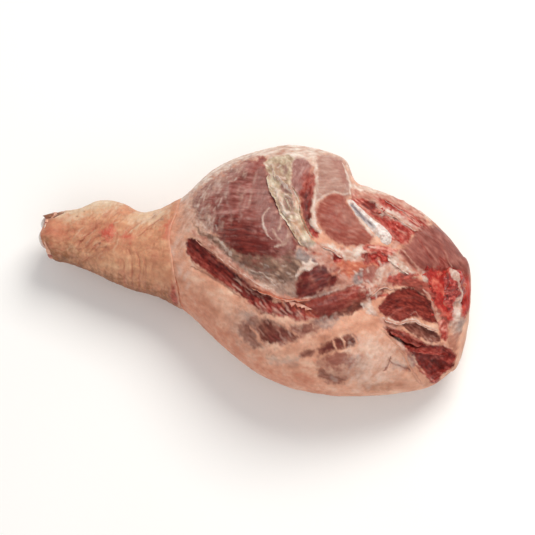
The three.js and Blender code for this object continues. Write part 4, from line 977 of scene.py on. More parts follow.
def skin_edge_at(q: np.ndarray) -> np.ndarray:
    """Place x of the skin's cut edge for each place q."""
    line = Line(SKIN_EDGE).points()
    order = np.argsort(line[:, 1])
    return np.interp(q, line[order, 1], line[order, 0])


# ---------------------------------------------------------------- coating a surface with tissues


@dataclass(frozen=True)
class FacePlaces:
    """Where a surface's points lie on the cut face, and how the edges of marks wander there."""

    x: np.ndarray
    q: np.ndarray
    wander: tuple[np.ndarray, np.ndarray]  # along x and q, in millimetres
    fray: np.ndarray
    shown: np.ndarray  # 0 where the surface looks away from the face, 1 where it shows
    swell: np.ndarray  # share of a mark's relief that stands out there

    @classmethod
    def of(cls, points: np.ndarray, facing: np.ndarray) -> FacePlaces:
        """Works the places out.

        Args:
            points: The surface's points in millimetres.
            facing: How squarely each point looks out of the cut face, -1 to 1.

        Returns:
            The places.
        """
        x, q = face_place(points)
        flat = np.stack([x, q, np.zeros(len(x))], axis=1)
        return cls(
            x, q,
            wander=tuple(1.3 * NOISE.fractal(flat + shift, 8.0, 4) for shift in (0.0, 211.0)),
            fray=NOISE.fractal(flat + 57.0, 4.0, 2),
            shown=smoothstep(facing + 0.3 * NOISE.fractal(points, 30.0, 3), -0.5, 0.15),
            swell=smoothstep(facing, 0.1, 0.6),
        )

    def wandered(self, ragged: float) -> tuple[np.ndarray, np.ndarray]:
        """The places x and q, moved about so that an edge drawn there is ragged."""
        return self.x + ragged * self.wander[0], self.q + ragged * self.wander[1]


@dataclass
class Coat:
    """What a surface carries at each of its points."""

    points: np.ndarray  # in millimetres, before relief
    tone: np.ndarray  # linear RGB
    lean: np.ndarray
    wet: np.ndarray
    grain: np.ndarray  # place across, along and through the fibres, in millimetres
    relief: np.ndarray  # millimetres

    @classmethod
    def of(cls, points: np.ndarray, base: Look) -> Coat:
        """A coat of one tissue all over.

        Args:
            points: The surface's points in millimetres.
            base: The tissue.

        Returns:
            The new coat.
        """
        count = len(points)
        colours, lean, wet, relief = np.zeros((count, 3)), np.zeros(count), np.zeros(count), np.zeros(count)
        coat = cls(points, colours, lean, wet, points.copy(), relief)
        coat.lay(base, np.ones(count), 0.0)
        return coat

    def lay(self, look: Look, share: np.ndarray, grain: float, thin: float = 0.0) -> None:
        """Lays a tissue over part of the surface.

        Args:
            look: The tissue.
            share: How much of it covers each point, 0 to 1.
            grain: Degrees from the leg's length to its fibres.
            thin: How far it is worn through in streaks, 0 to 1.
        """
        least_seen = 0.004
        there = np.flatnonzero(share > least_seen)
        if not len(there):
            return
        amount = share[there]
        points = self.points[there]
        x, q = face_place(points)
        c, s = math.cos(math.radians(grain)), math.sin(math.radians(grain))
        local = np.stack([q * c - x * s, x * c + q * s, points @ FACE_NORMAL], axis=1)
        local[:, 0] += 2.0 * NOISE.at(points, 30.0)
        streaks = NOISE.fractal(local, (look.across, look.along, look.across * 2), 3)
        spots = NOISE.fractal(points, look.across * 2.2, 2)
        if thin:
            worn = NOISE.fractal(local + 91.0, (look.across * 1.6, look.along * 1.8, 20.0), 3)
            amount = amount * (1 - thin * smoothstep(worn, 0.3, -0.35))
        relief_and_shade = NOISE.fractal(points, look.lump_size, 3)
        height = look.lump * relief_and_shade
        if look.crease:
            crease = NOISE.creased(local, (look.crease_size, look.crease_size * 2.4, 30.0)) - 0.5
            height += look.crease * crease
            relief_and_shade = relief_and_shade + 1.6 * crease
        if look.lean > 0.5:
            height += 0.35 * streaks
        # the lumps and creases also go into the tone: lighter where they stand out and darker in their
        # hollows, as painted shade
        blend = look.contrast * (streaks + 0.5 * spots + 0.35 * relief_and_shade)
        self.tone[there] += amount[:, None] * (look.tone(blend) - self.tone[there])
        self.lean[there] += amount * (look.lean - self.lean[there])
        self.wet[there] += amount * (look.wet - self.wet[there])
        top = amount > 0.5
        self.grain[there[top]] = local[top]
        self.relief[there] += amount * height

    def lay_marks(self, marks: Sequence[Mark], facing: np.ndarray) -> None:
        """Lays patches, strokes and wisps on the part of a surface that looks the way the cut face does.

        Args:
            marks: What is laid, lowest first.
            facing: How squarely each point looks out of the cut face, -1 to 1.
        """
        places = FacePlaces.of(self.points, facing)
        for number, mark in enumerate(marks):
            if isinstance(mark, Wisps):
                self._lay_wisps(mark, np.random.default_rng(number), places)
            elif isinstance(mark, Patch):
                self._lay_patch(mark, places)
            else:
                self._lay_stroke(mark, places)

    def _lay_patch(self, mark: Patch, places: FacePlaces) -> None:
        """Lays one area of tissue and swells it out."""
        outline = Line(mark.outline, closed=True)
        depth = outline.depth(*places.wandered(mark.ragged), mark.soft + 2.0)
        share = smoothstep(depth + 0.4 * mark.soft * places.fray, -mark.soft / 2, mark.soft / 2)
        if mark.rise:
            flatness = 1 - np.clip(outline.depth(places.x, places.q, mark.shoulder) / mark.shoulder, 0, 1)
            self.relief += places.swell * mark.rise * np.sin(0.5 * math.pi * (1 - flatness))
        self.lay(mark.tissue.value, share * mark.cover * places.shown, mark.grain, mark.thin)

    def _lay_stroke(self, mark: Stroke, places: FacePlaces) -> None:
        """Lays one line of tissue and presses its furrow in, or raises its welt."""
        line = Line(mark.line)
        if mark.rise:
            away, along = line.along(places.x, places.q, 3 * mark.reach)
            taper = smoothstep(np.minimum(along, 1 - along), -0.02, 0.14)
            self.relief += places.swell * taper * mark.rise * np.exp(-((away / mark.reach) ** 2))
        if mark.tissue is None:
            return
        away, along = line.along(*places.wandered(mark.ragged), 3 * mark.width)
        taper = 0.45 + 0.55 * smoothstep(np.minimum(along, 1 - along), 0.0, 0.25)
        width = mark.width * taper * (1 + 0.5 * places.fray)
        share = np.exp(-((away / width) ** 3)) * (away < 3 * mark.width)
        if mark.broken:
            share *= smoothstep(places.fray, 1.4 * mark.broken - 1.0, 1.4 * mark.broken - 0.3)
        (ax, aq), (bx, bq) = mark.line[0], mark.line[-1]
        grain = math.degrees(math.atan2(bq - aq, bx - ax))
        self.lay(mark.tissue.value, share * mark.cover * places.shown, grain)

    def _lay_wisps(self, mark: Wisps, rng: np.random.Generator, places: FacePlaces) -> None:
        """Lays scattered strands, each in one tone of its tissue."""
        x, q = places.wandered(1.0)
        shown, reach = places.shown, 2.0 * mark.width
        for strand in mark.strands(rng):
            cover, blend = mark.cover * rng.uniform(0.4, 1.0), rng.uniform(-0.8, 1.0)
            line = np.array(strand)
            low, high = line.min(0) - reach, line.max(0) + reach
            near = np.flatnonzero((x > low[0]) & (x < high[0]) & (q > low[1]) & (q < high[1]) & (shown > 0))
            if not len(near):
                continue
            away, along = Line(strand).along(x[near], q[near], reach)
            share = np.exp(-((away / mark.width) ** 3)) * (away < reach)
            share *= smoothstep(np.minimum(along, 1 - along), 0.0, 0.3)
            amount = (cover * share * shown[near])[:, None]
            self.tone[near] += amount * (mark.tissue.value.tone(np.array([blend])) - self.tone[near])
            self.relief[near] += mark.rise * share * places.swell[near]


class Ground:
    """Heights of a built surface along the cut face's normal."""

    def __init__(self, points: np.ndarray, cell: float = 2.0) -> None:
        """Sorts a surface's points into square cells.

        Args:
            points: The points that look out of the face, in millimetres.
            cell: Millimetres from one cell to the next.
        """
        x, q = face_place(points)
        self._low = np.array([x.min(), q.min()])
        self._cell = cell
        size = (np.array([x.max(), q.max()]) - self._low) // cell + 1
        total, count = np.zeros(size.astype(int)), np.zeros(size.astype(int))
        i, j = ((np.stack([x, q], 1) - self._low) // cell).astype(int).T
        np.add.at(total, (i, j), points @ FACE_NORMAL)
        np.add.at(count, (i, j), 1.0)
        widest_gap = 12  # cells
        for _ in range(widest_gap):  # cells without points take their neighbours' mean
            empty = count == 0
            spread_total, spread_count = np.zeros_like(total), np.zeros_like(count)
            for axis, step in ((0, 1), (0, -1), (1, 1), (1, -1)):
                spread_total += np.roll(np.where(count > 0, total / np.maximum(count, 1), 0.0), step, axis)
                spread_count += np.roll((count > 0) * 1.0, step, axis)
            total, count = np.where(empty, spread_total, total), np.where(empty, spread_count, count)
        self._height = total / np.maximum(count, 1)

    def height(self, x: np.ndarray | float, q: np.ndarray | float) -> np.ndarray:
        """Heights at places x, q, in millimetres."""
        spot = (np.stack(np.broadcast_arrays(x, q), -1) - self._low) / self._cell - 0.5
        base = np.clip(np.floor(spot).astype(int), 0, np.array(self._height.shape) - 2)
        i, j = base[..., 0], base[..., 1]
        u, v = np.moveaxis(np.clip(spot - base, 0, 1), -1, 0)
        h = self._height
        lower, upper = (h[i, k] * (1 - u) + h[i + 1, k] * u for k in (j, j + 1))
        return lower * (1 - v) + upper * v


def face_point(x: np.ndarray, q: np.ndarray, height: np.ndarray) -> np.ndarray:
    """Points in space at places x, q and heights along the face's normal."""
    x, q, height = np.broadcast_arrays(x, q, height)
    along = x[..., None] * np.array([1.0, 0.0, 0.0])
    return along + q[..., None] * FACE_ACROSS + height[..., None] * FACE_NORMAL


# ---------------------------------------------------------------- meshes


def make_mesh(name: str, points: np.ndarray, faces: list[Sequence[int]] | np.ndarray) -> bpy.types.Object:
    """A smooth-shaded mesh object.

    Args:
        name: The object's name.
        points: Its vertices in the part's own frame, in millimetres.
        faces: Vertex numbers of each face.

    Returns:
        The object, linked to the scene.
    """
    mesh = bpy.data.meshes.new(name)
    mesh.from_pydata((np.asarray(points) * MM).tolist(), [], [list(map(int, face)) for face in faces])
    mesh.validate()
    mesh.polygons.foreach_set("use_smooth", np.ones(len(mesh.polygons), bool))
    mesh.update()
    outward = bmesh.new()
    outward.from_mesh(mesh)
    if outward.calc_volume(signed=True) < 0:
        mesh.flip_normals()
    outward.free()
    piece = bpy.data.objects.new(name, mesh)
    bpy.context.scene.collection.objects.link(piece)
    return piece


def set_colours(piece: bpy.types.Object, name: str, values: np.ndarray) -> None:
    """Stores one linear colour for each vertex."""
    layer = piece.data.attributes.new(name, "FLOAT_COLOR", "POINT")
    opaque = np.column_stack([values, np.ones(len(values))])
    layer.data.foreach_set("color", opaque.astype(np.float32).ravel())


def set_vectors(piece: bpy.types.Object, name: str, values: np.ndarray) -> None:
    """Stores one vector for each vertex."""
    layer = piece.data.attributes.new(name, "FLOAT_VECTOR", "POINT")
    layer.data.foreach_set("vector", np.asarray(values, np.float32).ravel())


def set_coat(piece: bpy.types.Object, coat: Coat) -> None:
    """Stores a coat's colours, its traits as red and green, and its grain for the piece's material."""
    set_colours(piece, "tone", np.clip(coat.tone, 0.0, 1.0))
    set_colours(piece, "traits", np.column_stack([coat.lean, coat.wet, np.zeros(len(coat.lean))]))
    set_vectors(piece, "grain", coat.grain)


def joined_piece(name: str, coats: Sequence[Coat], faces: Sequence[Sequence[int]] | np.ndarray,
                 shift: np.ndarray) -> bpy.types.Object:
    """One piece of moist meat from several coated parts.

    Args:
        name: The piece's name.
        coats: The parts' coats, whose points are in place.
        faces: Vertex numbers of each face, counted through all the parts.
        shift: From the form's zero to the part's origin.

    Returns:
        The piece, its faces looking out.
    """
    whole = Coat(*(np.concatenate([getattr(coat, part.name) for coat in coats]) for part in fields(Coat)))
    piece = make_mesh(name, whole.points + shift, faces)
    mesh = bmesh.new()
    mesh.from_mesh(piece.data)
    bmesh.ops.recalc_face_normals(mesh, faces=mesh.faces)
    mesh.to_mesh(piece.data)
    mesh.free()
    set_coat(piece, whole)
    piece.data.materials.append(MoistMeat().material())
    return piece


def grid_faces(rows: int, columns: int, start: int = 0, closed: bool = False) -> np.ndarray:
    """Quads of a grid of vertices.

    Args:
        rows: How many rows of vertices there are.
        columns: How many vertices a row has.
        start: Number of the first vertex.
        closed: Whether a row's last vertex joins its first.

    Returns:
        One row of four vertex numbers for each quad.
    """
    number = start + np.arange(rows * columns).reshape(rows, columns)
    if closed:
        number = np.concatenate([number, number[:, :1]], axis=1)
    return np.stack([number[:-1, :-1], number[1:, :-1], number[1:, 1:], number[:-1, 1:]], -1).reshape(-1, 4)


def end_fans(rows: int, columns: int, tips: int) -> list[list[int]]:
    """Triangles that close both ends of a tube.

    Args:
        rows: How many rings the tube has, from vertex 0 on.
        columns: How many vertices a ring has.
        tips: Number of the vertex in the middle of the first end; that of the other end follows it.

    Returns:
        Three vertex numbers for each triangle.
    """
    last = (rows - 1) * columns
    faces = []
    for j in range(columns):
        k = (j + 1) % columns
        faces.append([tips, j, k])
        faces.append([tips + 1, last + k, last + j])
    return faces


# ---------------------------------------------------------------- finishes


def add_node(tree: bpy.types.NodeTree, kind: str, inputs: dict[Any, Any] | None = None,
             **settings: Any) -> bpy.types.Node:
    """Adds a node.

    Args:
        tree: The material's node tree.
        kind: The node's type name.
        inputs: A value or another node's output for each input, by name or number.
        **settings: Properties of the node.

    Returns:
        The new node.
    """
    node = tree.nodes.new(kind)
    for name, value in settings.items():
        setattr(node, name, value)
    for socket, value in (inputs or {}).items():
        if isinstance(value, bpy.types.NodeSocket):
            tree.links.new(value, node.inputs[socket])
        else:
            node.inputs[socket].default_value = value
    return node


def start_material(name: str) -> tuple[bpy.types.Material, bpy.types.NodeTree]:
    """An empty node material and its tree."""
    material = bpy.data.materials.new(name)
    material.use_nodes = True
    material.node_tree.nodes.clear()
    return material, material.node_tree


def end_material(tree: bpy.types.NodeTree, shader: bpy.types.Node) -> None:
    """Joins a shader to the material's surface."""
    add_node(tree, "ShaderNodeOutputMaterial", {"Surface": shader.outputs["BSDF"]})


def stored(tree: bpy.types.NodeTree, name: str) -> bpy.types.NodeSocket:
    """The colour that each vertex stores under a name."""
    return add_node(tree, "ShaderNodeAttribute", attribute_name=name).outputs["Color"]


def place_in(tree: bpy.types.NodeTree) -> bpy.types.NodeSocket:
    """The place in the object's own space, in metres."""
    return add_node(tree, "ShaderNodeTexCoord").outputs["Object"]


def clouds(tree: bpy.types.NodeTree, place: bpy.types.NodeSocket, size: float, detail: float,
           roughness: float = 0.5) -> bpy.types.Node:
    """Cloudy noise.

    Args:
        tree: The material's node tree.
        place: Where it is read.
        size: Millimetres from one cloud to the next.
        detail: How many times finer clouds are added.
        roughness: How strong the finer ones are.

    Returns:
        The node, with a number at "Fac" and a colour at "Color".
    """
    return add_node(tree, "ShaderNodeTexNoise", {
        "Vector": place, "Scale": 1 / (size * MM), "Detail": detail, "Roughness": roughness})


def ranged(tree: bpy.types.NodeTree, value: bpy.types.NodeSocket, old: tuple[float, float],
           new: tuple[float, float]) -> bpy.types.NodeSocket:
    """A value stretched so that one range becomes another, and held inside it."""
    return add_node(tree, "ShaderNodeMapRange", {
        "Value": value, "From Min": old[0], "From Max": old[1],
        "To Min": new[0], "To Max": new[1]}).outputs[0]


def maths(tree: bpy.types.NodeTree, operation: str, *values: Any) -> bpy.types.NodeSocket:
    """The result of one calculation with numbers."""
    return add_node(tree, "ShaderNodeMath", dict(enumerate(values)), operation=operation).outputs[0]


def scaled(tree: bpy.types.NodeTree, tone: bpy.types.NodeSocket, share: Any) -> bpy.types.NodeSocket:
    """A colour made darker or lighter by a share."""
    return add_node(tree, "ShaderNodeVectorMath", {0: tone, "Scale": share}, operation="SCALE").outputs[0]


MIDDLE_OF_NOISE = (0.3, 0.7)  # where nearly all values of a noise node lie


@dataclass(frozen=True)
class MoistMeat:
    """Raw pork, cut with a knife: wet red fibres under thin film, and soft cream fat.

    The eye sees fine streaks that follow each muscle, a broken sheen where the film is wet, and a
    granular, duller fat.
    """

    fibre_width: float = 2.2  # mm; real fibre bundles are about 0.5 mm, drawn as coarse as shows
    fibre_length: float = 36.0
    fibre_depth: float = 6.0
    fat_grain: float = 2.2  # mm between lobules of fat
    mottle: float = 5.0
    fine_grain: float = 1.1

    def material(self) -> bpy.types.Material:
        """The node material."""
        material, tree = start_material("moist_meat")
        traits = add_node(tree, "ShaderNodeSeparateColor", {"Color": stored(tree, "traits")}).outputs
        lean, wet = traits["Red"], traits["Green"]
        grain = add_node(tree, "ShaderNodeAttribute", attribute_name="grain").outputs["Vector"]
        place = place_in(tree)

        stretch = (1 / self.fibre_width, 1 / self.fibre_length, 1 / self.fibre_depth)
        stretched = add_node(tree, "ShaderNodeVectorMath", {
            0: grain, 1: stretch}, operation="MULTIPLY").outputs[0]
        fibres = add_node(tree, "ShaderNodeTexNoise", {
            "Vector": stretched, "Scale": 1.0, "Detail": 4.0, "Roughness": 0.6}).outputs["Fac"]
        lobules = add_node(tree, "ShaderNodeTexVoronoi", {
            "Vector": place, "Scale": 1 / (self.fat_grain * MM), "Randomness": 1.0},
            feature="SMOOTH_F1").outputs["Distance"]
        blotches = clouds(tree, place, self.mottle, 5.0, 0.65).outputs["Fac"]
        fine = clouds(tree, place, self.fine_grain, 3.0, 0.6).outputs["Fac"]

        fibre_share = ranged(tree, fibres, MIDDLE_OF_NOISE, (0.82, 1.16))
        fat_share = ranged(tree, blotches, MIDDLE_OF_NOISE, (0.90, 1.09))
        share = add_node(tree, "ShaderNodeMix", {
            "Factor": lean, 2: fat_share, 3: fibre_share}, data_type="FLOAT").outputs[0]
        height = add_node(tree, "ShaderNodeMix", {
            "Factor": lean, 2: maths(tree, "ADD", lobules, fine), 3: fibres}, data_type="FLOAT").outputs[0]
        bump = add_node(tree, "ShaderNodeBump", {
            "Height": height, "Strength": 0.7, "Distance": 0.6 * MM}).outputs["Normal"]
        dry = ranged(tree, wet, (0.2, 0.8), (0.6, 0.3))
        patchy = ranged(tree, blotches, MIDDLE_OF_NOISE, (-0.08, 0.1))
        shader = add_node(tree, "ShaderNodeBsdfPrincipled", {
            "Base Color": scaled(tree, stored(tree, "tone"), share),
            "Roughness": maths(tree, "ADD", dry, patchy), "Normal": bump, "IOR": 1.4,
            "Subsurface Weight": 0.12, "Subsurface Radius": (1.0, 0.35, 0.2),
            "Subsurface Scale": 2.5 * MM, "Specular IOR Level": 0.3})
        end_material(tree, shader)
        return material


@dataclass(frozen=True)
class PorkSkin:
    """Scalded and scraped pig's skin: a dull satin with pores, fine crossing lines and red flushes."""

    pore_spacing: float = 3.4  # mm; pores sit in threes about 3 mm apart
    line_spacing: float = 1.6  # mm; the real net of lines is about 1 mm, drawn as coarse as shows
    flush_size: float = 6.0
    bend_size: float = 9.0  # mm from one bend of the lines and rows of pores to the next
    bend: float = 4.0  # mm by which they are moved

    def material(self) -> bpy.types.Material:
        """The node material."""
        material, tree = start_material("scraped_pork_skin")
        place = place_in(tree)
        bent = clouds(tree, place, self.bend_size, 2.0).outputs["Color"]
        shifted = add_node(tree, "ShaderNodeVectorMath", {
            0: bent, 1: (self.bend * MM,) * 3, 2: place}, operation="MULTIPLY_ADD").outputs[0]
        pores = add_node(tree, "ShaderNodeTexVoronoi", {
            "Vector": shifted, "Scale": 1 / (self.pore_spacing * MM), "Randomness": 0.9}).outputs["Distance"]
        lines = add_node(tree, "ShaderNodeTexVoronoi", {
            "Vector": shifted, "Scale": 1 / (self.line_spacing * MM)},
            feature="DISTANCE_TO_EDGE").outputs["Distance"]
        flush = clouds(tree, place, self.flush_size, 6.0, 0.7).outputs["Fac"]
        pits = ranged(tree, pores, (0.06, 0.2), (0.0, 1.0))
        net = ranged(tree, lines, (0.0, 0.16), (0.0, 1.0))

        pit_share = ranged(tree, pits, (0.0, 1.0), (0.86, 1.0))
        net_share = ranged(tree, net, (0.0, 1.0), (0.95, 1.0))
        flush_share = ranged(tree, flush, (0.32, 0.68), (0.9, 1.08))
        share = maths(tree, "MULTIPLY", maths(tree, "MULTIPLY", pit_share, net_share), flush_share)
        height = maths(tree, "MULTIPLY_ADD", flush, 2.0, maths(tree, "ADD", net, pits))
        bump = add_node(tree, "ShaderNodeBump", {
            "Height": height, "Strength": 0.5, "Distance": 0.25 * MM}).outputs["Normal"]
        shader = add_node(tree, "ShaderNodeBsdfPrincipled", {
            "Base Color": scaled(tree, stored(tree, "tone"), share),
            "Roughness": ranged(tree, flush, MIDDLE_OF_NOISE, (0.42, 0.6)), "Normal": bump, "IOR": 1.4,
            "Subsurface Weight": 0.15, "Subsurface Radius": (1.0, 0.4, 0.25), "Subsurface Scale": 2.5 * MM})
        end_material(tree, shader)
        return material


@dataclass(frozen=True)
class WetGristle:
    """Cartilage and cut bone, washed and wet: smooth or pitted, with a clear gloss."""

    name: str = "wet_cartilage"
    grain_size: float = 2.0  # mm between its faint clouds
    depth: float = 0.25  # mm of relief in the bump
    roughness: float = 0.34

    def material(self) -> bpy.types.Material:
        """The node material."""
        material, tree = start_material(self.name)
        cloud = clouds(tree, place_in(tree), self.grain_size, 5.0, 0.65).outputs["Fac"]
        toned = scaled(tree, stored(tree, "tone"), ranged(tree, cloud, MIDDLE_OF_NOISE, (0.9, 1.08)))
        patchy = ranged(tree, cloud, MIDDLE_OF_NOISE, (self.roughness - 0.08, self.roughness + 0.12))
        bump = add_node(tree, "ShaderNodeBump", {
            "Height": cloud, "Strength": 0.5, "Distance": self.depth * MM}).outputs["Normal"]
        shader = add_node(tree, "ShaderNodeBsdfPrincipled", {
            "Base Color": toned, "Roughness": patchy, "Normal": bump, "IOR": 1.45,
            "Subsurface Weight": 0.15, "Subsurface Radius": (1.0, 0.5, 0.35), "Subsurface Scale": 2.0 * MM,
            "Coat Weight": 0.25, "Coat Roughness": 0.15, "Coat IOR": 1.33})
        end_material(tree, shader)
        return material


# ---------------------------------------------------------------- the leg's pieces


def hock_drawn(points: np.ndarray, lip: float) -> np.ndarray:
    """How far the hock's end is drawn along x: back at its far corner and forward where the skin bulges.

    Args:
        points: Points in millimetres.
        lip: How far the bulge reaches.

    Returns:
        Millimetres along x.
    """
    length, corner = 26.0, 13.0  # how far from the cut it is felt, how far the corner is drawn back
    middle, far_width, near_width = 15.0, 15.0, 20.0  # of the bulge, across the face
    x, q = face_place(points)
    share = 1 - smoothstep(x, HOCK_CUT, HOCK_CUT + length)
    bulge = np.exp(-(((q - middle) / np.where(q > middle, far_width, near_width)) ** 2))
    turned = smoothstep(points @ FACE_NORMAL, 30, 70)
    back = corner * smoothstep(q, 37, 50) * turned
    return share * (back - lip * (0.25 + 0.75 * bulge) * (0.4 + 0.6 * turned))


@dataclass
class TrimmedLeg:
    """Flesh and fat of the whole leg, with the cut face's relief."""

    form: LegForm
    shift: np.ndarray  # from the form's zero to the part's origin
    face_spacing: float = 1.45  # mm between rings on the face
    shank_spacing: float = 10.0
    face_columns: int = 292
    under_columns: int = 84
    under_skip: int = 3  # rings on the face for each ring beneath
    nose_turns: int = 14
    skin_bed: float = 0.3  # mm by which the flesh under the skin is sunk
    ground: Ground = field(init=False, repr=False)

    def _columns(self, positions: np.ndarray) -> tuple[np.ndarray, np.ndarray]:
        """Angles of the columns on the face and beneath, one row for each position."""
        face_rows, under_rows = [], []
        for position in positions:
            fine = np.linspace(-0.5 * math.pi, 1.5 * math.pi, 1201)
            look = self.form.outward(position, fine) @ FACE_NORMAL
            points = self.form.points(position, fine)
            crown = len(fine) // 2
            first = int(np.argmax(look[:crown] > -0.5))
            after = crown + int(np.argmax(look[crown:] < -0.2))
            steps = np.linalg.norm(np.diff(points[first:after + 1], axis=0), axis=1)
            steps = steps * (0.4 + 0.6 * smoothstep(look[first:after], -0.05, 0.25))
            angles = evenly(fine[first:after + 1], steps, self.face_columns + 1)
            face_rows.append(angles)
            below = np.linspace(angles[-1], angles[0] + 2 * math.pi, 301)
            steps = np.linalg.norm(np.diff(self.form.points(position, below), axis=0), axis=1)
            under_rows.append(evenly(below, steps, self.under_columns + 1)[1:-1])
        return np.array(face_rows), np.array(under_rows)

    def _rings(self) -> tuple[np.ndarray, np.ndarray, np.ndarray, np.ndarray]:
        """Points of all rings and how squarely they face, on the face and beneath."""
        bare_from, bare_to = -132, -120  # x over which rings grow close, past the skin
        positions = self.form.positions(0.0, self.form.last, lambda x: self.shank_spacing + (
            self.face_spacing - self.shank_spacing) * smoothstep(x, bare_from, bare_to))
        spare = (len(positions) - 1) % self.under_skip
        positions = np.interp(np.linspace(0, len(positions) - 1, len(positions) - spare),
                              np.arange(len(positions)), positions)
        face_angles, under_angles = self._columns(positions)
        rows = positions[:, None]
        face, under = self.form.points(rows, face_angles), self.form.points(rows, under_angles)
        face_out, under_out = self.form.outward(rows, face_angles), self.form.outward(rows, under_angles)
        # the butt rounds out past its last section
        centre = np.concatenate([face[-1], under[-1]]).mean(0)
        turns = np.linspace(0, 0.5 * math.pi, self.nose_turns + 1)[1:-1, None, None]
        shrink, ahead = np.cos(turns), np.sin(turns) * np.array([1.0, 0.0, 0.0])
        rings = []
        for ring, out in ((face, face_out), (under, under_out)):
            nose = centre + (ring[-1] - centre) * shrink + self.form.butt_nose * ahead
            rings.append(np.concatenate([ring, nose]))
            rings.append(np.concatenate([out, out[-1] * shrink + ahead]))
        return tuple(rings)

    def _faces(self, rings: int, columns: int, used: np.ndarray, width: int) -> list[Sequence[int]]:
        """Faces of the whole surface.

        Args:
            rings: How many rings the cut face's side has.
            columns: How many vertices each of these has.
            used: The rings that go on beneath.
            width: How many vertices a ring has beneath.

        Returns:
            The vertex numbers of the two grids, of the fans that join their edges and of the two ends.
        """
        base = rings * columns
        faces: list[Sequence[int]] = grid_faces(rings, columns).tolist()
        faces += grid_faces(len(used), width, base).tolist()
        for k, (low, high) in enumerate(zip(used[:-1], used[1:])):
            for column, under_column in ((columns - 1, 0), (0, width - 1)):
                edge = [ring * columns + column for ring in range(low, high + 1)]
                a = base + k * width + under_column
                b = a + width
                middle = len(edge) // 2
                fan = [[edge[i], edge[i + 1], a if i < middle else b] for i in range(len(edge) - 1)]
                fan.append([edge[middle], b, a])
                faces += fan if column else [tri[::-1] for tri in fan]
        first = base + len(used) * width
        for ring, row, centre in ((0, 0, first), (rings - 1, len(used) - 1, first + 1)):
            loop = [ring * columns + j for j in range(columns)]
            loop += [base + row * width + j for j in range(width)]
            for a, b in zip(loop, loop[1:] + loop[:1]):
                faces.append([centre, b, a] if ring else [centre, a, b])
        return faces

    def build(self, marks: Sequence[Mark]) -> bpy.types.Object:
        """Builds the flesh with its relief and its coat.

        Args:
            marks: What lies on the cut face.

        Returns:
            The piece.
        """
        face, face_out, under, under_out = self._rings()
        rings, columns = face.shape[:2]
        used = np.arange(0, rings, self.under_skip)
        if used[-1] != rings - 1:
            used = np.append(used, rings - 1)
        under, under_out = under[used], under_out[used]
        ends = np.array([np.concatenate([face[end], under[end]]).mean(0) for end in (0, -1)])
        ends_out = np.array([[-1.0, 0.0, 0.0], [1.0, 0.0, 0.0]])
        points = np.concatenate([face.reshape(-1, 3), under.reshape(-1, 3), ends])
        out = np.concatenate([face_out.reshape(-1, 3), under_out.reshape(-1, 3), ends_out])
        facing = out @ FACE_NORMAL

        coat = Coat.of(points, Tissue.FLANK_FAT.value)
        coat.lay(Tissue.OUTER_FAT.value, 1 - smoothstep(facing, -0.45, 0.1), 0.0)
        coat.lay_marks(marks, facing)
        x, q = face_place(points)
        bare = smoothstep(x, skin_edge_at(q) - 6, skin_edge_at(q) + 2)
        blend = smoothstep(facing, 0.1, 0.6)[:, None]
        along = (1 - blend) * out + blend * FACE_NORMAL
        height = np.where(bare > 0, coat.relief * bare, 0.0) - self.skin_bed * (1 - bare)
        placed = points + along * height[:, None]
        placed[:, 0] += hock_drawn(points, 0.0)
        placed[:, 2] = np.maximum(placed[:, 2], 0.0)
        self.ground = Ground(placed[facing > 0.1])
        piece = make_mesh("cut_leg", placed + self.shift, self._faces(rings, columns, used, under.shape[1]))
        set_coat(piece, coat)
        piece.data.materials.append(MoistMeat().material())
        return piece


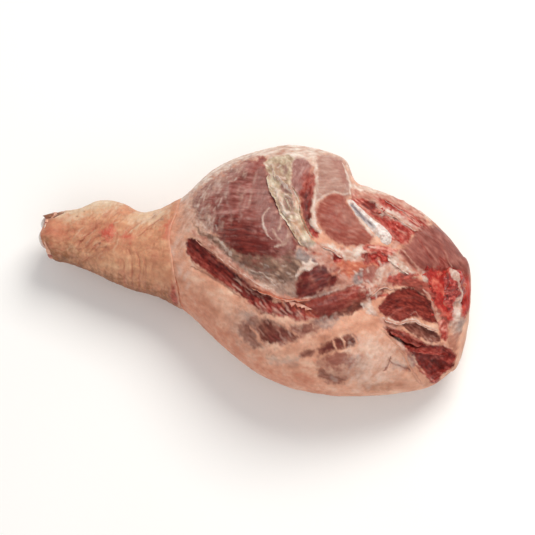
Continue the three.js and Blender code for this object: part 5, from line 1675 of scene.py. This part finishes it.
@dataclass
class ShankSkin:
    """The skin left on the shank: a shell with wrinkles, a thick cut edge and a lip rolled in at the hock."""

    form: LegForm
    shift: np.ndarray
    thickness: float = 3.0
    rows: int = 230
    columns: int = 300
    inner_rows: int = 24
    thinning: float = 14.0  # length over which it thins out towards its cut edge
    lip: float = 13.0  # length over which the skin rolls in at the hock
    lip_sunk: float = 6.0
    lip_reach: float = 10.5  # how far its bulge covers the joint
    past_edge: float = 6.5  # a position along the leg that lies past the cut edge all round
    edge_thinned: float = 1.7
    tones: Look = Look("#b97e5f", "#d29672", "#e4b48f", 9, 26, 1.0, 0.0, 0.4, 0.5, 9)
    pink: Look = Look("#b96c53", "#cf8668", "#dfa287", 6, 16, 1.0)

    def build(self) -> bpy.types.Object:
        """Builds the shell."""
        angles = np.linspace(0, 2 * math.pi, self.columns, endpoint=False)
        fine = np.linspace(0, self.past_edge, 900)
        table = self.form.points(fine[:, None], angles)
        q = table @ FACE_ACROSS
        past = table[..., 0] - skin_edge_at(q)
        past += 0.8 * NOISE.fractal(table.reshape(-1, 3) * [0, 1, 1], 9.0, 3).reshape(past.shape)
        edge = fine[np.argmax(past > 0, axis=0)]
        # the far upper corner at the hock is trimmed away
        start = 0.42 * smoothstep(table[0] @ FACE_ACROSS, 28, 52) * smoothstep(table[0] @ FACE_NORMAL, 40, 70)
        shares = np.linspace(0, 1, self.rows)
        inner = np.linspace(1, 0, self.inner_rows)
        position = start + np.concatenate([shares, inner])[:, None] * (edge - start)
        points = self.form.points(position, angles)
        out = self.form.outward(position, angles)
        flat = points.reshape(-1, 3)

        coat = Coat.of(flat, self.tones)
        self._paint(coat, flat, (out @ FACE_NORMAL).ravel())
        lift = np.zeros(position.shape)
        relief = (coat.relief + self._relief(flat)).reshape(position.shape)
        lift[:self.rows] = self.thickness + relief[:self.rows]
        # the cut edge is rounded over, and the lip at the hock rolls in
        rounding = {-1: 1.0, -2: 0.3, 0: 1.2, 1: 0.5, 2: 0.1}  # millimetres off each row
        for row, depth in rounding.items():
            lift[:self.rows][row] -= depth
        to_edge = np.linalg.norm(points - points[self.rows - 1], axis=2)
        lift[:self.rows] -= self.edge_thinned * (1 - smoothstep(to_edge[:self.rows], 0, self.thinning))
        past_start = np.linalg.norm(points - points[0], axis=2)
        lift -= self.lip_sunk * (1 - smoothstep(past_start, 0, self.lip)) ** 1.6
        placed = points + out * lift[..., None]
        for rows, reach in ((slice(None, self.rows), 1.0), (slice(self.rows, None), 0.6)):
            placed[rows, :, 0] += hock_drawn(flat, reach * self.lip_reach).reshape(position.shape)[rows]
        placed[..., 2] = np.maximum(placed[..., 2], 0.0)
        faces = grid_faces(len(position), self.columns, closed=True).tolist()
        last = (len(position) - 1) * self.columns
        for j in range(self.columns):
            k = (j + 1) % self.columns
            faces.append([last + j, j, k, last + k])
        piece = make_mesh("shank_skin", placed.reshape(-1, 3) + self.shift, faces)
        set_coat(piece, coat)
        piece.data.materials.append(PorkSkin().material())
        return piece

    def _relief(self, points: np.ndarray) -> np.ndarray:
        """Slack skin and fine wrinkles, in millimetres."""
        x, _ = face_place(points)
        height = 0.9 * NOISE.fractal(points, 26.0, 2)
        # fine wrinkles run round the shank and bend with it
        bent = np.stack([x + 5 * NOISE.at(points, 30.0), points[:, 1] * 0.25, points[:, 2] * 0.25], axis=1)
        height += 0.6 * (NOISE.creased(bent, (7.0, 9.0, 9.0)) - 0.5)
        return height + 0.3 * NOISE.fractal(points, 3.4, 3)

    def _paint(self, coat: Coat, points: np.ndarray, facing: np.ndarray) -> None:
        """Clouds of pink, painted shade where the skin looks away from the cut face, the marks, and the pale
        cut edge and lip.
        """
        x, q = face_place(points)
        cloud = smoothstep(NOISE.fractal(points, 18.0, 4), -0.1, 0.55)
        coat.lay(self.pink, 0.5 * cloud, 70.0)
        # painted shade: olive brown where the skin looks away from the cut face, under the shank
        coat.lay(Tissue.SKIN_SHADE.value, 0.45 * (1 - smoothstep(facing, -0.5, 0.2)), 80.0)
        coat.lay(Tissue.SKIN_LINE.value, 0.3 * smoothstep(x, -150, -105), 80.0)
        coat.lay_marks(SHANK, facing)
        edge = smoothstep(x, skin_edge_at(q) - 5.0, skin_edge_at(q) - 1.0)
        coat.lay(Tissue.SKIN_RIM.value, 0.45 * edge, 80.0)
        coat.lay(Tissue.SKIN_RIM.value, 0.6 * (1 - smoothstep(x, HOCK_CUT - 1, HOCK_CUT + 6)), 80.0)


@dataclass(frozen=True)
class Flap:
    """A torn edge of film, fat or lean that stands off the face along a line."""

    tissue: Tissue
    root: Pairs
    reach: float  # how far it overhangs, left of its run, or right of it below zero
    lift: float  # how high its free edge stands over its root
    torn: float = 0.5  # share of its reach that is torn away between its teeth
    tooth: float = 7.0  # millimetres from one tooth to the next
    rim: Tissue = Tissue.CREAM_FAT  # tissue along the free edge


@dataclass
class TornFilm:
    """The torn edges that stand off the cut face and shade it."""

    shift: np.ndarray
    ground: Ground
    thickness: float = 0.9
    step: float = 1.0
    across: int = 9
    flaps: tuple[Flap, ...] = (
        Flap(Tissue.PINK_FILM, SILVER_RIM, -1.8, 0.3, 0.5, 9, Tissue.PINK_FILM),
        Flap(Tissue.ORANGE_FAT, ((2, -10), (26, -15), (46, -18), (66, -16), (81, -14)), -2.6, 0.7, 0.7, 6),
        Flap(Tissue.CREPE_FAT, ((61, 50), (49, 63), (36, 79), (25, 90), (18, 104), (6, 119), (1, 137)), 3.0,
             2.2, 0.6, 9),
        Flap(Tissue.CREPE_FAT, ((33, 125), (44, 111), (49, 92), (60, 74), (71, 61)), 2.6, 1.8, 0.6, 8,
             Tissue.ORANGE_FAT),
        Flap(Tissue.CREAM_FAT, ((7, 135), (16, 131), (26, 123), (35, 115)), 3.6, 2.2, 0.7, 8),
        Flap(Tissue.CREPE_FAT, ((4, 152), (9, 140), (12, 130)), -3.2, 2.0, 0.7, 8),
        Flap(Tissue.CREPE_FAT, ((26, 110), (33, 99), (39, 89)), 3.0, 1.8, 0.7, 8),
        Flap(Tissue.PINK_FILM, ((46, -18), (58, -20), (72, -22), (84, -26)), -7.0, 1.6, 0.9, 5,
             Tissue.ORANGE_FAT),
        Flap(Tissue.PINK_FILM, ((143, 119), (157, 112), (170, 108), (185, 101), (204, 93)),
             -3.6, 2.4, 0.6, 9),
        Flap(Tissue.RUMP_LEAN, ((152, 129), (169, 122), (189, 113), (209, 99)), -3.2, 2.0, 0.6, 9),
        Flap(Tissue.PINK_FILM, ((152, -1), (159, 9), (169, 16), (181, 13)), -3.0, 2.0, 0.6, 8),
        Flap(Tissue.CREAM_FAT, ((167, 53), (181, 45), (199, 35)), -3.0, 2.0, 0.6, 8),
        Flap(Tissue.PINK_FILM, ((80, 55), (98, 52), (112, 43)), -3.0, 1.6, 0.6, 8),
        Flap(Tissue.PINK_FILM, ((173, -24), (184, -26), (194, -27), (204, -23), (214, -21), (226, -26), (245,
             -31)), -3.4, 2.0, 0.6, 7),
        Flap(Tissue.CUT_LEAN, ((183, -38), (199, -43), (216, -49), (229, -50)), -5.0, 2.6, 0.4, 10,
             Tissue.CUT_LEAN),
        Flap(Tissue.TORN_LEAN, ((209, -57), (228, -58), (246, -58), (263, -59)), -5.0, 2.6, 0.4, 10,
             Tissue.CUT_LEAN),
        Flap(Tissue.FLANK_FAT, ((172, -38), (188, -50), (204, -66), (220, -88), (234, -102)),
             3.4, 1.4, 0.6, 8,
             Tissue.PINK_FILM),
        Flap(Tissue.SKIN_MARK, ((-256, 50), (-268, 49), (-279, 46), (-290, 41)), 6.5, 3.5, 0.2, 12,
             Tissue.BROWN_FILM),
    )

    def build(self) -> bpy.types.Object:
        """Builds all the flaps as one piece."""
        coats, faces, start = [], [], 0
        for number, flap in enumerate(self.flaps):
            coat, rings = self._flap(flap, 100.0 * number)
            coats.append(coat)
            faces += grid_faces(rings, 2 * self.across, start, closed=True).tolist()
            for ring in (0, rings - 1):
                faces.append([start + ring * 2 * self.across + j for j in range(2 * self.across)])
            start += len(coat.points)
        return joined_piece("torn_film", coats, faces, self.shift)

    def _flap(self, flap: Flap, seed: float) -> tuple[Coat, int]:
        """One flap's coat, its points in place, and how many rings it has."""
        line = Line(flap.root).points()
        passed = np.concatenate([[0], np.cumsum(np.linalg.norm(np.diff(line, axis=0), axis=1))])
        run = np.linspace(0, passed[-1], max(8, int(passed[-1] / self.step)))
        root = np.stack([np.interp(run, passed, line[:, i]) for i in (0, 1)], 1)
        ahead = np.gradient(root, axis=0)
        ahead /= np.linalg.norm(ahead, axis=1, keepdims=True)
        aside = np.stack([-ahead[:, 1], ahead[:, 0]], 1)
        spot = np.stack([run + seed, np.full_like(run, seed), np.zeros_like(run)], 1)
        ends = smoothstep(np.minimum(run, passed[-1] - run), 0, 5.0)
        gap = np.clip(0.5 + 0.9 * NOISE.fractal(spot, flap.tooth, 3), 0, 1)
        width = flap.reach * (1 - flap.torn * gap) * ends
        lift = flap.lift * ends * (1 + 0.7 * NOISE.fractal(spot + 41.0, flap.tooth * 1.6, 2))
        t = np.linspace(0, 1, self.across)
        place = root[:, None] + aside[:, None] * (width[:, None] * t)[..., None]
        base = self.ground.height(root[:, 0], root[:, 1])
        below = self.ground.height(place[..., 0], place[..., 1])
        height = base[:, None] - 0.9 * (1 - t) + lift[:, None] * np.sin(0.5 * math.pi * t) ** 0.8
        flat = np.stack([place[..., 0], place[..., 1], np.zeros(place.shape[:2])], -1).reshape(-1, 3)
        height += t * 0.9 * NOISE.fractal(flat + seed, 5.0, 2).reshape(height.shape)
        height = np.maximum(height, below + 0.35 * t)
        thick = 0.5 * self.thickness * (1 - 0.6 * t)
        top = face_point(place[..., 0], place[..., 1], height + thick)
        under = face_point(place[..., 0], place[..., 1], height - thick)[:, ::-1]
        points = np.concatenate([top, under], axis=1).reshape(-1, 3)
        coat = Coat.of(points, flap.tissue.value)
        share = np.tile(np.concatenate([t, t[::-1]]), len(run))
        coat.lay(flap.rim.value, 0.8 * smoothstep(share, 0.55, 0.95), 0.0)
        return coat, len(run)


@dataclass(frozen=True)
class Nubs:
    """Small lumps of one tissue strewn over an area."""

    tissue: Tissue
    outline: Pairs
    count: int
    size: tuple[float, float] = (1.6, 4.0)  # smallest and largest half length


@dataclass
class LooseBits:
    """Nubs of lean and bone that stand proud where knife and saw have been."""

    shift: np.ndarray
    ground: Ground
    groups: tuple[Nubs, ...] = (
        Nubs(Tissue.RUMP_LEAN, ((140, 118), (190, 104), (188, 84), (164, 92), (140, 106)), 8, (2.0, 4.0)),
        Nubs(Tissue.MARROW, ((216, 44), (234, 50), (242, 30), (236, 0), (244, -20), (232, -4), (224, 28)), 12,
             (2.4, 5.0)),
    )

    def build(self) -> bpy.types.Object:
        """Builds all the nubs as one piece."""
        ball = bmesh.new()
        bmesh.ops.create_icosphere(ball, subdivisions=3, radius=1.0)
        unit = np.array([v.co for v in ball.verts])
        sides = np.array([[v.index for v in face.verts] for face in ball.faces])
        ball.free()
        coats, faces = [], []
        for number, group in enumerate(self.groups):
            rng = np.random.default_rng(500 + number)
            places = Wisps(group.tissue, group.outline, group.count, 0.0).strands(rng)
            spots = np.array([strand[1] for strand in places])
            sizes = rng.uniform(*group.size, len(spots))
            points = []
            for (x, q), size in zip(spots, sizes):
                shape = unit * size * [1.0, rng.uniform(0.35, 0.7), rng.uniform(0.25, 0.4)]
                turn = rng.uniform(0, math.pi)
                c, s = math.cos(turn), math.sin(turn)
                shape = shape @ np.array([[c, s, 0], [-s, c, 0], [0, 0, 1]])
                shape *= 1 + 0.7 * NOISE.fractal(shape + 20.0 * len(points), 1.1 * size, 2)[:, None]
                base = float(self.ground.height(x, q)) - 0.2 * size
                points.append(face_point(x + shape[:, 0], q + shape[:, 1], base + shape[:, 2]))
                faces.append(sides + len(unit) * len(faces))
            coats.append(Coat.of(np.concatenate(points), group.tissue.value))
        return joined_piece("loose_bits", coats, np.concatenate(faces), self.shift)


@dataclass
class AitchBone:
    """The cut branch of the pubic bone: a blue-grey stretch in white gristle, and a white knob."""

    shift: np.ndarray
    line: tuple[tuple[float, float, float], ...] = (
        (107, 119, 4), (112, 112, 6.5), (122, 103, 7.5), (136, 93, 8),
        (150, 84, 9.5), (161, 75, 9.8), (167, 69, 6.5))
    sunk: float = 2.6
    flatness: float = 0.8
    steps: int = 90
    sides: int = 64

    def build(self, ground: Ground) -> bpy.types.Object:
        """Builds the bone.

        Args:
            ground: The flesh that the bone lies in.

        Returns:
            The piece.
        """
        rows = np.array([(x, q, ground.height(x, q) - self.sunk, half) for x, q, half in self.line])
        rows[:, 2] = np.convolve(np.pad(rows[:, 2], 1, mode="edge"), [0.25, 0.5, 0.25], "valid")
        t = np.linspace(0, 1, self.steps)
        x, q, height, half = catmull_rom(rows, t * (len(rows) - 1)).T
        centre = face_point(x, q, height)
        tangent = np.gradient(centre, axis=0)
        side = np.cross(tangent, FACE_NORMAL)
        side /= np.linalg.norm(side, axis=1, keepdims=True)
        half = half * np.sqrt(np.clip(1 - np.abs(2 * t - 1) ** 8, 0, 1))
        angle = np.linspace(0, 2 * math.pi, self.sides, endpoint=False)
        c, s = np.cos(angle)[None, :, None], np.sin(angle)[None, :, None]
        ring = half[:, None, None] * (c * side[:, None] + self.flatness * s * FACE_NORMAL)
        points = (centre[:, None] + ring).reshape(-1, 3)
        along = np.repeat(t, self.sides)
        across = np.tile(np.cos(angle), self.steps) * np.repeat(half, self.sides)
        up = np.tile(np.sin(angle), self.steps)
        knob = smoothstep(along, 0.6, 0.72)
        pits = smoothstep(NOISE.fractal(points, 2.6, 3), 0.1, 0.45) * knob * smoothstep(up, 0.0, 0.5)
        groove = np.exp(-(((across + 0.8) / 3.0) ** 2)) * smoothstep(up, 0, 0.5)
        groove = groove * smoothstep(along, 0.1, 0.2) * (1 - smoothstep(along, 0.52, 0.66))
        radial = (ring / np.maximum(np.linalg.norm(ring, axis=2, keepdims=True), 1e-6)).reshape(-1, 3)
        lumps = NOISE.fractal(points, 8.0, 3) - 1.3 * pits - 1.6 * groove
        points = points + radial * lumps[:, None]

        white = Look("#c9b2a8", "#e3d5ce", "#f6f0ec", 3, 9, 1.3)
        blue = Look("#6b5c60", "#8d8084", "#b3a6a8", 3, 12, 1.2)
        coat = Coat.of(points, white)
        film = 0.5 * smoothstep(NOISE.fractal(points, 7.0, 3), 0.0, 0.5) * (1 - knob)
        coat.lay(Tissue.PINK_FILM.value, film, -40.0)
        coat.lay(blue, np.clip(1.3 * groove, 0, 1), -40.0)
        coat.lay(Look("#a9766a", "#c79a8d", "#dfc0b5", 3, 6, 1.0), 0.6 * pits, 0.0)
        faces = grid_faces(self.steps, self.sides, closed=True)[:, ::-1].tolist()
        faces += end_fans(self.steps, self.sides, len(points))
        points = np.concatenate([points, centre[[0, -1]]])
        piece = make_mesh("aitch_bone_end", points + self.shift, faces)
        tones = np.concatenate([coat.tone, coat.tone[:1], coat.tone[-1:]])
        set_colours(piece, "tone", np.clip(tones, 0, 1))
        piece.data.materials.append(WetGristle().material())
        return piece


@dataclass
class HipBone:
    """The sawn stump of the hip bone: a craggy lump of spongy bone, bright with marrow."""

    half: tuple[float, float, float] = (27.0, 42.0, 16.0)  # along the slope, across it and into the flesh
    crag: float = 4.5
    crag_size: float = 22.0
    nub: float = 2.6
    nub_size: float = 11.0

    def build(self, node: bpy.types.Object, shift: np.ndarray) -> bpy.types.Object:
        """Builds the bone where its solid is.

        Args:
            node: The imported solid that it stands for.
            shift: From the form's zero to the part's origin.

        Returns:
            The piece.
        """
        solid = np.array([v.co for v in node.data.vertices]) / MM - shift
        centre = (solid.min(0) + solid.max(0)) / 2
        spread = np.linalg.eigh(np.cov((solid - centre).T))[1]
        outward = spread[:, 0] * np.sign(spread[:, 0] @ FACE_NORMAL)
        across = FACE_ACROSS - outward * (FACE_ACROSS @ outward)
        across /= np.linalg.norm(across)
        along = np.cross(across, outward)
        axes = np.array([along, across, outward])

        ball = bmesh.new()
        bmesh.ops.create_icosphere(ball, subdivisions=7, radius=1.0)
        unit = np.array([v.co for v in ball.verts])
        faces = [[v.index for v in face.verts] for face in ball.faces]
        ball.free()
        bare = unit * self.half
        crags = self.crag * NOISE.fractal(bare, self.crag_size, 2)
        nubs = NOISE.fractal(bare, self.nub_size, 2)
        pits = smoothstep(NOISE.at(bare + 91.0, self.nub_size * 1.2), 0.1, 0.55)
        deep = smoothstep(NOISE.at(bare + 17.0, self.crag_size), 0.25, 0.65)
        height = crags + self.nub * nubs - 2.0 * pits - 3.5 * deep
        points = centre + (bare + unit * height[:, None]) @ axes

        coat = Coat.of(points, Tissue.MARROW.value)
        crag = smoothstep(nubs - pits, 0.15, 0.7)
        coat.lay(Look("#b24036", "#d4705f", "#edb09c", 5, 8, 1.2), crag * 0.5, 0)
        # the pits and hollows are painted darker: the marrow's deep red with painted shade
        hollow_shade = smoothstep(pits + deep - 0.4 * nubs, 0.4, 1.0)
        coat.lay(Look("#4a0c08", "#761b15", "#9d3128", 5, 8, 1.2), 0.8 * hollow_shade, 0)
        out = unit @ axes
        coat.lay_marks(HIP_BONE, out @ FACE_NORMAL)
        points = points + out * coat.relief[:, None] + shift
        piece = make_mesh("sawn_hip_bone", points, faces)
        set_colours(piece, "tone", np.clip(coat.tone, 0, 1))
        piece.data.materials.append(WetGristle("spongy_bone", 3.0, 0.4, 0.34).material())
        return piece


@dataclass
class HockCut:
    """The saw cut at the hock: the domed joint end in a ring of fat, tendon and lean."""

    form: LegForm
    shift: np.ndarray
    centre: tuple[float, float] = (1.0, 60.0)
    radii: tuple[float, float] = (23.0, 25.0)
    proud: float = 10.0  # how far the solid's joint end stands out of the cut
    domed: float = 14.5  # how far this one does, past the skin's lip
    deep: float = 14.0
    sides: int = 140

    def joint(self) -> bpy.types.Object:
        """The joint end, smooth and grooved like a pulley."""
        cut = self.form.sections[0].x
        angle = np.linspace(0, 2 * math.pi, self.sides, endpoint=False)
        dome = np.sin(np.linspace(0.02, 0.5 * math.pi, 40))
        wall = np.linspace(0, 1, 8)[1:]
        radius = np.concatenate([dome, 1 - 0.1 * wall])
        x = np.concatenate([cut - self.domed * np.sqrt(1 - dome**2) ** 0.8, cut + self.deep * wall])
        y = self.centre[0] + radius[:, None] * self.radii[0] * np.cos(angle)
        z = self.centre[1] + radius[:, None] * self.radii[1] * np.sin(angle)
        points = np.stack([np.broadcast_to(x[:, None], y.shape), y, z], -1)
        front = (x < cut)[:, None] * (1 - radius[:, None] ** 4)
        groove = 3.6 * np.exp(-(((y - self.centre[0] + 0.15 * (z - self.centre[1])) / 5.5) ** 2)) * front
        points[..., 0] += groove
        flat = points.reshape(-1, 3)
        flat[:, 0] -= 0.3 * NOISE.fractal(flat, 9.0, 3)
        coat = Coat.of(flat, Look("#b9a39b", "#d8c6bd", "#efe4dc", 6, 14, 0.8))
        rim = smoothstep(np.broadcast_to(radius[:, None], y.shape).ravel(), 0.82, 0.98)
        coat.lay(Look("#9c6a5e", "#c08d80", "#dab3a6", 3, 6, 1.0), 0.8 * rim, 0.0)
        coat.lay(Look("#9f8f92", "#b9acad", "#d3c9c8", 5, 12, 0.9),
                 0.7 * (np.exp(-((groove.ravel() - 3.0) ** 2) / 2.0)), 0.0)
        faces = grid_faces(len(radius), self.sides, closed=True).tolist()
        groove_depth = 3.4
        ends = np.array([[cut - self.domed + groove_depth, *self.centre], [cut + self.deep, *self.centre]])
        faces += end_fans(len(radius), self.sides, len(flat))
        flat = np.concatenate([flat, ends])
        piece = make_mesh("hock_joint_end", flat + self.shift, faces)
        set_colours(piece, "tone", np.clip(np.concatenate([coat.tone, coat.tone[:1], coat.tone[-1:]]), 0, 1))
        piece.data.materials.append(WetGristle("joint_cartilage", 3.0, 0.12, 0.28).material())
        return piece

    def ring(self) -> bpy.types.Object:
        """The cut fat, tendons and lean between the joint end and the skin."""
        count, welt, depth = 2 * self.sides, 1.6, 6.0
        angle = np.linspace(0, 2 * math.pi, count, endpoint=False)
        outer = self.form.points(np.zeros(len(angle)), angle)
        turn = np.arctan2((outer[:, 2] - self.centre[1]) / self.radii[1],
                          (outer[:, 1] - self.centre[0]) / self.radii[0])
        inner = outer.copy()
        inner[:, 1] = self.centre[0] + 0.97 * self.radii[0] * np.cos(turn)
        inner[:, 2] = self.centre[1] + 0.97 * self.radii[1] * np.sin(turn)
        slant = self.form.sections[0].skew
        inner[:, 0] = outer[:, 0] + slant * (inner[:, 1] - outer[:, 1])
        shares = np.linspace(0, 1, 26)
        points = outer[None] + shares[:, None, None] * (inner - outer)[None]
        bulge = welt * np.sqrt(np.clip(1 - (2 * shares - 1) ** 4, 0, 1))
        flat = points.reshape(-1, 3)
        lumps = NOISE.fractal(flat, 5.0, 3) + 0.4 * NOISE.fractal(flat, 1.8, 2)
        points[..., 0] -= bulge[:, None] + lumps.reshape(points.shape[:2]) * (bulge / welt)[:, None]
        back = points[::-1][[0, -1]].copy()
        back[..., 0] += depth
        sheet = np.concatenate([points, back])
        flat = sheet.reshape(-1, 3)
        coat = Coat.of(flat, Tissue.SKIN_RIM.value)
        lean = smoothstep(NOISE.fractal(flat * [0, 1, 1], 11.0, 2), 0.02, 0.3)
        coat.lay(Tissue.CUT_LEAN.value, lean * 0.9, 90.0)
        tendon = Look("#cfc0b6", "#e9dfd6", "#f8f3ec", 1.5, 6, 0.7)
        tendons = {0.12: 5.5, 1.75: 3.6, 2.5: 3.2, 4.1: 3.4, 5.2: 3.0}  # angle round the joint: half width
        for turn_at, reach in tendons.items():
            spot = np.array([
                0.0, self.centre[0] + 27 * math.cos(turn_at), self.centre[1] + 28 * math.sin(turn_at)])
            away = np.linalg.norm((flat - spot) * [0, 1, 1], axis=1)
            coat.lay(tendon, 1 - smoothstep(away, reach - 1, reach), 0.0)
        faces = grid_faces(len(sheet), count, closed=True)[:, ::-1].tolist()
        last = (len(sheet) - 1) * count
        for j in range(count):
            k = (j + 1) % count
            faces.append([last + j, last + k, k, j])
        flat[:, 0] += hock_drawn(flat, 4.0)
        piece = make_mesh("hock_cut_tissue", flat + self.shift, faces)
        set_coat(piece, coat)
        piece.data.materials.append(MoistMeat().material())
        return piece


# ---------------------------------------------------------------- studio


@dataclass
class Studio:
    """A pale floor, soft lamps and the camera, looking down on the cut face."""

    shift: np.ndarray
    azimuth: float = 9.0
    elevation: float = 70.0
    distance: float = 2300.0
    scale: float = 1.31  # mm to one pixel of a frame 535 wide, at the aim point
    frame_width: int = 535
    aim_height: float = 85.0
    sky: float = 0.42
    off_centre: tuple[float, float] = (13.1, -13.9)  # mm right and up from the leg's middle to the axis

    def camera(self) -> None:
        """Places the camera."""
        turn, tilt = math.radians(self.azimuth), math.radians(self.elevation)
        back = np.array([math.sin(turn) * math.cos(tilt), -math.cos(turn) * math.cos(tilt), math.sin(tilt)])
        right = np.array([math.cos(turn), math.sin(turn), 0.0])
        up = np.cross(back, right)
        aim = self.shift + [0, 0, self.aim_height] + self.off_centre[0] * right + self.off_centre[1] * up
        data = bpy.data.cameras.new("camera")
        data.sensor_width = 36.0
        data.lens = self.distance / self.scale * data.sensor_width / self.frame_width
        data.clip_end = 20.0
        camera = bpy.data.objects.new("camera", data)
        axes = np.stack([right, up, back, (aim + self.distance * back) * MM], axis=1)
        camera.matrix_world = Matrix([*axes.tolist(), (0, 0, 0, 1)])
        bpy.context.scene.collection.objects.link(camera)
        bpy.context.scene.camera = camera

    def lamp(self, name: str, place: tuple[float, float, float], size: float, power: float,
             colour: str) -> None:
        """Adds a soft square lamp that faces the leg.

        Args:
            name: The lamp's name.
            place: Where it hangs, in metres.
            size: Its side, in metres.
            power: Watts.
            colour: Its light.
        """
        data = bpy.data.lights.new(name, "AREA")
        data.size, data.energy = size, power
        data.color = tuple(linear(colour))
        lamp = bpy.data.objects.new(name, data)
        lamp.location = place
        lamp.rotation_euler = (Vector((0, 0, 0.08)) - Vector(place)).to_track_quat("-Z", "Y").to_euler()
        bpy.context.scene.collection.objects.link(lamp)

    def floor(self) -> None:
        """Lays the floor."""
        material, tree = start_material("matt_white_sheet")
        cloud = add_node(tree, "ShaderNodeTexNoise", {
            "Vector": place_in(tree), "Scale": 3.0, "Detail": 2.0}).outputs["Fac"]
        shade = ranged(tree, cloud, (0.0, 1.0), (0.93, 0.96))
        colour = add_node(tree, "ShaderNodeCombineColor", {
            "Red": shade, "Green": shade, "Blue": shade}).outputs[0]
        shader = add_node(tree, "ShaderNodeBsdfPrincipled", {"Base Color": colour, "Roughness": 0.8})
        end_material(tree, shader)
        reach = 4000.0
        corners = np.array([(-reach, -reach, 0), (reach, -reach, 0), (reach, reach, 0), (-reach, reach, 0)])
        floor = make_mesh("floor", corners, [(0, 1, 2, 3)])
        floor.data.materials.append(material)

    def light(self) -> None:
        """Hangs the lamps and sets the sky."""
        self.lamp("key_softbox", (0.55, 1.35, 2.2), 1.5, 51.0, "#fffaf2")
        self.lamp("fill_softbox", (0.3, -1.6, 1.8), 2.6, 20.0, "#fffcf8")
        world = bpy.data.worlds.new("studio")
        world.use_nodes = True
        world.node_tree.nodes["Background"].inputs["Color"].default_value = rgba("#ffffff")
        world.node_tree.nodes["Background"].inputs["Strength"].default_value = self.sky
        bpy.context.scene.world = world
        bpy.context.scene.view_settings.view_transform = "Standard"


def main() -> None:
    """Builds the pieces in order, dresses the scene and reports each piece."""
    logging.basicConfig(level=logging.INFO, format="%(message)s")
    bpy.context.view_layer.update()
    form = LegForm()
    low, high = (np.array(corner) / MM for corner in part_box("hock_bone"))
    front = form.sections[0].x - HockCut.proud
    shift = np.array([low[0] - front, (low[1] + high[1]) / 2 - HockCut.centre[0], 0.0])
    log.info("form to part: %s mm", np.round(shift, 3))

    leg = TrimmedLeg(form, shift)
    hock = HockCut(form, shift)
    pieces = [
        (leg.build(FACE), "leg", "flesh_and_fat"),
        (ShankSkin(form, shift).build(), "leg", "flesh_and_fat"),
        (hock.ring(), "leg", "flesh_and_fat"),
        (TornFilm(shift, leg.ground).build(), "leg", "flesh_and_fat"),
        (LooseBits(shift, leg.ground).build(), "leg", "flesh_and_fat"),
        (AitchBone(shift).build(leg.ground), "aitch_bone", "cartilage"),
        (HipBone().build(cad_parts["hip_bone"], shift), "hip_bone", "spongy_bone"),
        (hock.joint(), "hock_bone", "joint_end"),
    ]
    for piece, node, slot in pieces:
        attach(piece, "root")
        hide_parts(node)
        log.info("%s: %d faces, stands for %s", piece.name, len(piece.data.polygons), node)

    studio = Studio(shift)
    studio.camera()
    studio.light()
    studio.floor()


if __name__ == "__main__":
    main()
